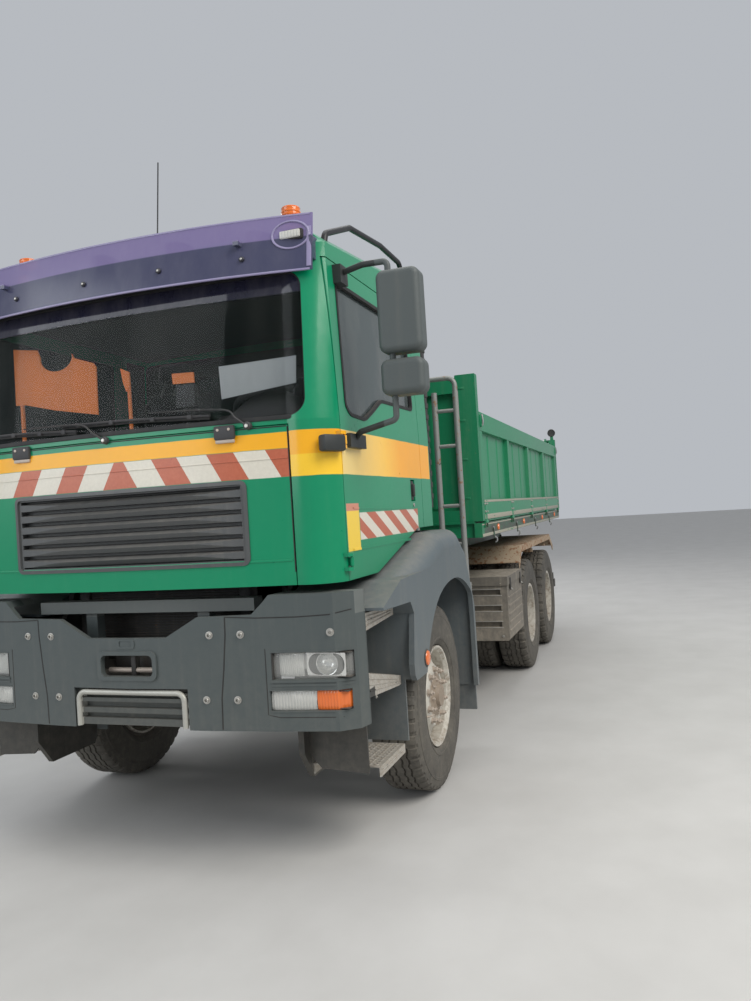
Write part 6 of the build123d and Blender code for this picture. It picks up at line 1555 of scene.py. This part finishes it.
# Beacons: base, ribbed lens and cap
bm = bmesh.new()
for side in SIDES:
    x, y = AXLE_1 + 1.000, side * 0.838
    lathe(bm, (x, y, 3.180), (0, 0, 1), [(0.064, 0.0), (0.066, 0.010), (0.060, 0.018)], 30, 0)
    for k in range(4):
        lathe(bm, (x, y, 3.195 + 0.016 * k), (0, 0, 1), [(0.0485, 0.0), (0.0505, 0.006),
              (0.0485, 0.012)], 30, 1)
    lathe(bm, (x, y, 3.268), (0, 0, 1), [(0.049, 0.0), (0.046, 0.006), (0.030, 0.012), (0.0, 0.014)],
          30, 1)
finish_piece("beacon_rings", bm, "black amber", "cab")

# Covers over the doors' upper hinges, and the mirrors' glasses and shell seams
for hand, side in HANDS:
    bm = bmesh.new()
    slab(bm, AXLE_1 + 1.235, AXLE_1 + 1.365, side * 1.082, side * 1.136, 1.990, 2.068, 0.012, 0,
         Matrix.Rotation(math.radians(-28.0 * side), 4, "Z"))
    finish_piece(f"hinge_cover_{hand}", bm, "mirror", "cab")
    bm = bmesh.new()
    for low, high in ((2.462, 2.813), (2.256, 2.396)):
        outline = round_box(1.334, 1.516, low, high, 0.03)
        x = AXLE_1 + 1.0745
        grid = [[(x, side * y, z) for z in (low + 0.01, high - 0.01)] for y in (1.345, 1.505)]
        sheet_of(bm, grid, 1)
        ring_frame(bm, x - 0.0035, x, [(side * y, z) for y, z in outline],
                   [(side * y, z) for y, z in round_box(1.342, 1.508, low + 0.008, high - 0.008,
                                                       0.025)], 0)
    finish_piece(f"mirror_glass_{hand}", bm, "black mirror_glass", f"door_{hand}")


# Seats: each cushion, backrest and head pad is swelled as cloth, then capped to its pad's space
LEAN = Matrix.Rotation(math.radians(-8.0), 4, "Y")


def swell(piece, voxel, cap, pressure=4.0, frames=20):
    """Blows a closed form up as cloth, holds each point near its start, and bakes the result."""
    view = bpy.context.view_layer
    remesh = piece.modifiers.new("remesh", "REMESH")
    remesh.mode = "VOXEL"
    remesh.voxel_size = voxel
    view.objects.active = piece
    view.update()
    graph = bpy.context.evaluated_depsgraph_get()
    start = bpy.data.meshes.new_from_object(piece.evaluated_get(graph))
    piece.modifiers.clear()
    keep = list(piece.data.materials)
    piece.data = start
    cloth = piece.modifiers.new("cloth", "CLOTH")
    cloth.settings.quality = 4
    cloth.settings.mass = 0.4
    cloth.settings.tension_stiffness = 18.0
    cloth.settings.compression_stiffness = 18.0
    cloth.settings.bending_stiffness = 1.2
    cloth.settings.use_pressure = True
    cloth.settings.uniform_pressure_force = pressure
    cloth.settings.effector_weights.gravity = 0.0
    cloth.point_cache.frame_start = 1
    cloth.point_cache.frame_end = frames
    for frame_number in range(1, frames + 1):
        SCENE.frame_set(frame_number)
    graph = bpy.context.evaluated_depsgraph_get()
    blown = bpy.data.meshes.new_from_object(piece.evaluated_get(graph))
    piece.modifiers.clear()
    SCENE.frame_set(1)
    for now, then in zip(blown.vertices, start.vertices):
        move = now.co - then.co
        if move.length > cap:
            now.co = then.co + move * (cap / move.length)
    piece.data = blown
    bm = bmesh.new()
    bm.from_mesh(piece.data)
    for _ in range(3):
        bmesh.ops.smooth_vert(bm, verts=bm.verts, factor=0.5, use_axis_x=True, use_axis_y=True,
                              use_axis_z=True)
    bm.to_mesh(piece.data)
    bm.free()
    piece.data.materials.clear()
    for material in keep:
        piece.data.materials.append(material)
    piece.data.shade_smooth()


def pad(name, blocks, voxel=0.010, cap=0.016):
    """A padded piece from overlapping blocks (x0, x1, y0, y1, z0, z1, edge, turn)."""
    bm = bmesh.new()
    for x0, x1, y0, y1, z0, z1, edge, turn in blocks:
        slab(bm, x0, x1, y0, y1, z0, z1, edge, 0, turn)
    piece = finish_piece(name, bm, "fabric", "cab")
    swell(piece, voxel, cap)
    return piece


for hand, y in (("left", SEAT_Y), ("right", -SEAT_Y)):
    x = AXLE_1 + 0.290
    cushion = [(x - 0.225, x + 0.225, y - 0.165, y + 0.165, 1.885, 1.970, 0.020, None)]
    for out in SIDES[::-1]:
        cushion.append((x - 0.215, x + 0.215, y + out * 0.150, y + out * 0.240, 1.882, 1.985, 0.026,
                        None))
    cushion.append((x + 0.170, x + 0.248, y - 0.235, y + 0.235, 1.884, 1.966, 0.030, None))
    piece = pad(f"seat_cushion_{hand}", cushion)
    if hand == "left":
        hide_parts("seats")
    back = [(x - 0.275, x - 0.200, y - 0.150, y + 0.150, 1.985, 2.575, 0.022, LEAN)]
    for out in SIDES[::-1]:
        back.append((x - 0.275, x - 0.182, y + out * 0.135, y + out * 0.218, 2.000, 2.540, 0.028,
                     LEAN))
    back.append((x - 0.312, x - 0.232, y - 0.200, y + 0.200, 2.530, 2.600, 0.026, LEAN))
    pad(f"seat_back_{hand}", back)
    pad(f"seat_head_{hand}", [(x - 0.342, x - 0.275, y - 0.120, y + 0.120, 2.655, 2.795, 0.030,
                              LEAN)])
    bm = bmesh.new()
    for k in range(6):
        grow = 0.010 if k % 2 else -0.006
        slab(bm, x - 0.180 - grow, x + 0.180 + grow, y - 0.170 - grow, y + 0.170 + grow,
             1.645 + 0.028 * k, 1.676 + 0.028 * k, 0.010, 0)
    slab(bm, x - 0.200, x + 0.200, y - 0.190, y + 0.190, 1.620, 1.650, 0.006, 0)
    slab(bm, x - 0.225, x + 0.230, y - 0.225, y + 0.225, 1.812, 1.884, 0.018, 0)
    for out in SIDES[::-1]:
        pipe(bm, [(x - 0.215, y + out * 0.050, 2.56), (x - 0.295, y + out * 0.050, 2.70)], 0.007, 10,
             2, 1)
        knob(bm, (x - 0.200, y + out * 0.226, 1.900), (0, out, 0), 0.036, 0.024, 24, 0)
        slab(bm, x - 0.185, x + 0.175, y + out * 0.236, y + out * 0.250, 1.835, 1.872, 0.005, 0)
    board = [[(x - 0.300 - 0.14 * s + 0.012 * math.cos(w * 3.0), y + w * 0.205, 2.00 + 0.58 * s)
              for w in (-1, -0.7, 0, 0.7, 1)] for s in (0, 0.35, 0.7, 1.0)]
    sheet_of(bm, board, 0)
    finish_piece(f"seat_frame_{hand}", bm, "trim steel", "cab")
    bm = bmesh.new()
    for out in SIDES[::-1]:
        pipe(bm, [(x + 0.185, y + out * 0.155, 1.986), (x + 0.0, y + out * 0.156, 1.988),
                  (x - 0.180, y + out * 0.155, 1.986)], 0.003, 8, 5, 0)
        pipe(bm, [(x - 0.158, y + out * 0.142, 2.03), (x - 0.196, y + out * 0.142, 2.28),
                  (x - 0.232, y + out * 0.142, 2.52)], 0.003, 8, 5, 0)
    out = 1 if y > 0 else -1
    belt = [(x - 0.375, y + out * 0.420, 2.70), (x - 0.300, y + out * 0.330, 2.50),
            (x - 0.250, y + out * 0.250, 2.20), (x - 0.210, y + out * 0.262, 1.93)]
    line = smooth_path(belt, 8)
    rows = [[p + Vector((0.0, out * 0.004 * k, 0.0)) + Vector((0.023 * s, 0.0, 0.0))
             for s, k in ((-1, 0), (0, 1), (1, 0))] for p in line]
    sheet_of(bm, rows, 0)
    finish_piece(f"seat_seams_{hand}", bm, "seal", "cab")

# Rear window, cab lining and floor mat
bm = bmesh.new()
WINDOW_X = AXLE_1 - 0.420
grid = [[(WINDOW_X + 0.014, y, z) for z in (2.266, 2.5, 2.754)] for y in (-0.614, 0.0, 0.614)]
sheet_of(bm, grid, 0)
finish_piece("rear_window", bm, "dark_glass", "cab")
bm = bmesh.new()
ring_frame(bm, WINDOW_X - 0.006, WINDOW_X + 0.020, round_box(-0.632, 0.632, 2.248, 2.772, 0.05),
           round_box(-0.600, 0.600, 2.280, 2.740, 0.04), 0)
finish_piece("rear_window_seal", bm, "seal", "cab")
bm = bmesh.new()
LINING_X = WINDOW_X + 0.040
ring_frame(bm, LINING_X, LINING_X + 0.006, round_box(-1.040, 1.040, 1.640, 2.880, 0.06),
           round_box(-0.610, 0.610, 2.270, 2.750, 0.04), 0)
roof = [[(LINING_X + 1.345 * s, 1.010 * w, 2.905 + 0.030 * (1 - w * w)) for w in
         (-1, -0.8, -0.4, 0, 0.4, 0.8, 1)] for s in (0, 0.25, 0.5, 0.75, 1)]
sheet_of(bm, roof, 0)
for side in SIDES:
    wall = [[(LINING_X + 0.225 * s, side * (1.080 - 0.035 * (z - 1.65)), z) for s in (0, 0.5, 1)]
            for z in (1.65, 2.1, 2.5, 2.88)]
    sheet_of(bm, wall, 0)
slab(bm, LINING_X + 0.02, AXLE_1 + 1.00, -0.98, 0.98, 1.6205, 1.632, 0.004, 1)
slab(bm, LINING_X + 0.10, AXLE_1 + 0.90, -0.20, 0.20, 1.630, 1.760, 0.040, 1)
finish_piece("cab_lining", bm, "lining seal", "cab")
# Steering column, stalks, pedals and gear lever
bm = bmesh.new()
column = Vector((AXLE_1 + 0.735, SEAT_Y, 2.260))
down = Vector((0.34, 0.0, -0.30))
pipe(bm, [column, column + down * 0.5, column + down], 0.032, 16, 3, 0)
for out in SIDES[::-1]:
    pipe(bm, [column + down * 0.22, column + down * 0.24 + Vector((0.0, out * 0.10, 0.012)),
              column + down * 0.20 + Vector((0.0, out * 0.165, 0.030))], 0.009, 10, 5, 0)
for dy, wide in ((-0.12, 0.030), (0.0, 0.040), (0.13, 0.040)):
    y = SEAT_Y + dy
    slab(bm, AXLE_1 + 0.945, AXLE_1 + 0.957, y - wide, y + wide, 1.70, 1.79, 0.004, 0,
         Matrix.Rotation(math.radians(20.0), 4, "Y"))
    pipe(bm, [(AXLE_1 + 0.955, y, 1.78), (AXLE_1 + 0.985, y, 1.90), (AXLE_1 + 1.000, y, 2.02)],
         0.009, 8, 4, 0)
pipe(bm, [(AXLE_1 + 0.42, 0.06, 1.75), (AXLE_1 + 0.44, 0.07, 1.93), (AXLE_1 + 0.40, 0.08, 2.02)],
     0.010, 10, 5, 0)
knob(bm, (AXLE_1 + 0.40, 0.08, 2.010), (-0.1, 0, 1), 0.026, 0.050, 20, 0, 0.45)
finish_piece("steering_column", bm, "trim", "cab")

# Radiator and its shroud, closing the gap above the front beam
bm = bmesh.new()
CORE_X = AXLE_1 + 1.085
slab(bm, CORE_X - 0.060, CORE_X, -0.47, 0.47, 0.98, 1.50, 0.010, 0)
for k in range(36):
    z = 1.00 + 0.0136 * k
    slab(bm, CORE_X, CORE_X + 0.006, -0.455, 0.455, z, z + 0.004, 0.0008, 1)
for side in SIDES:
    slab(bm, CORE_X - 0.075, CORE_X + 0.015, side * 0.462, side * 0.530, 0.95, 1.52, 0.012, 0)
slab(bm, CORE_X - 0.075, CORE_X + 0.015, -0.53, 0.53, 1.495, 1.545, 0.012, 0)
pipe(bm, [(CORE_X - 0.02, 0.36, 1.53), (CORE_X - 0.10, 0.36, 1.56), (CORE_X - 0.22, 0.32, 1.52)],
     0.032, 16, 5)
finish_piece("radiator", bm, "black iron", "chassis")


# Camera, light and floor
FOCAL_PIXELS, FRAME_HEIGHT = 804.0, 1001.0
FILM = 36.0
EYE = (AXLE_1 + 4.7584, 2.503, 1.7085)
VIEW_ANGLES = (199.13, 0.64, -3.54)      # yaw, pitch and roll in degrees


def camera():
    """The photograph's view, from ahead and to the truck's left."""
    data = bpy.data.cameras.new("camera")
    data.sensor_width = FILM
    data.lens = FILM * FOCAL_PIXELS / FRAME_HEIGHT
    data.clip_start = 0.05
    obj = bpy.data.objects.new("camera", data)
    SCENE.collection.objects.link(obj)
    yaw, pitch, roll = (math.radians(a) for a in VIEW_ANGLES)
    forward = Vector((math.cos(yaw) * math.cos(pitch), math.sin(yaw) * math.cos(pitch),
                      math.sin(pitch)))
    right = Vector((math.sin(yaw), -math.cos(yaw), 0.0))
    up = right.cross(forward)
    across = right * math.cos(roll) + up * math.sin(roll)
    above = up * math.cos(roll) - right * math.sin(roll)
    turn = Matrix((across, above, -forward)).transposed().to_4x4()
    obj.matrix_world = Matrix.Translation(EYE) @ turn
    SCENE.camera = obj


def area_light(name, place, target, size, power, color=(1.0, 1.0, 1.0)):
    """A soft lamp that points at a target."""
    data = bpy.data.lights.new(name, "AREA")
    data.shape = "RECTANGLE"
    data.size, data.size_y = size
    data.energy = power
    data.color = color
    obj = bpy.data.objects.new(name, data)
    SCENE.collection.objects.link(obj)
    look = (Vector(target) - Vector(place)).to_track_quat("-Z", "Y")
    obj.matrix_world = Matrix.Translation(place) @ look.to_matrix().to_4x4()


def studio():
    """Soft light, the world's pale light and the floor."""
    world = bpy.data.worlds.new("studio")
    SCENE.world = world
    world.use_nodes = True
    back = world.node_tree.nodes["Background"]
    back.inputs["Color"].default_value = (0.86, 0.90, 0.96, 1.0)
    back.inputs["Strength"].default_value = 0.55
    area_light("key", (6.5, 9.0, 9.5), (1.6, 0.4, 1.4), (7.0, 7.0), 1150.0, (1.0, 0.97, 0.92))
    area_light("fill", (10.0, -5.0, 4.5), (2.6, 0.0, 1.6), (6.0, 5.0), 260.0, (0.92, 0.96, 1.0))
    area_light("top", (0.0, 0.0, 10.0), (0.0, 0.0, 0.0), (9.0, 6.0), 300.0)
    area_light("back", (-9.0, -6.5, 6.0), (-2.0, 0.0, 1.4), (5.0, 4.0), 320.0)
    mesh = bpy.data.meshes.new("floor")
    bm = bmesh.new()
    bmesh.ops.create_grid(bm, x_segments=1, y_segments=1, size=60.0)
    bm.to_mesh(mesh)
    bm.free()
    floor = bpy.data.objects.new("floor", mesh)
    SCENE.collection.objects.link(floor)
    material = bpy.data.materials.new("floor_pale")
    material.use_nodes = True
    t = Tree(material.node_tree)
    shader = t.nodes["Principled BSDF"]
    vector, *_ = t.place()
    tone = t.span(t.noise(vector, 2.0, 4.0), 0.3, 0.7)
    t.put(shader.inputs["Base Color"], t.mix(tone, (0.50, 0.49, 0.47), (0.55, 0.54, 0.52)))
    shader.inputs["Roughness"].default_value = 0.85
    mesh.materials.append(material)
    SCENE.view_settings.view_transform = "Standard"


camera()
studio()
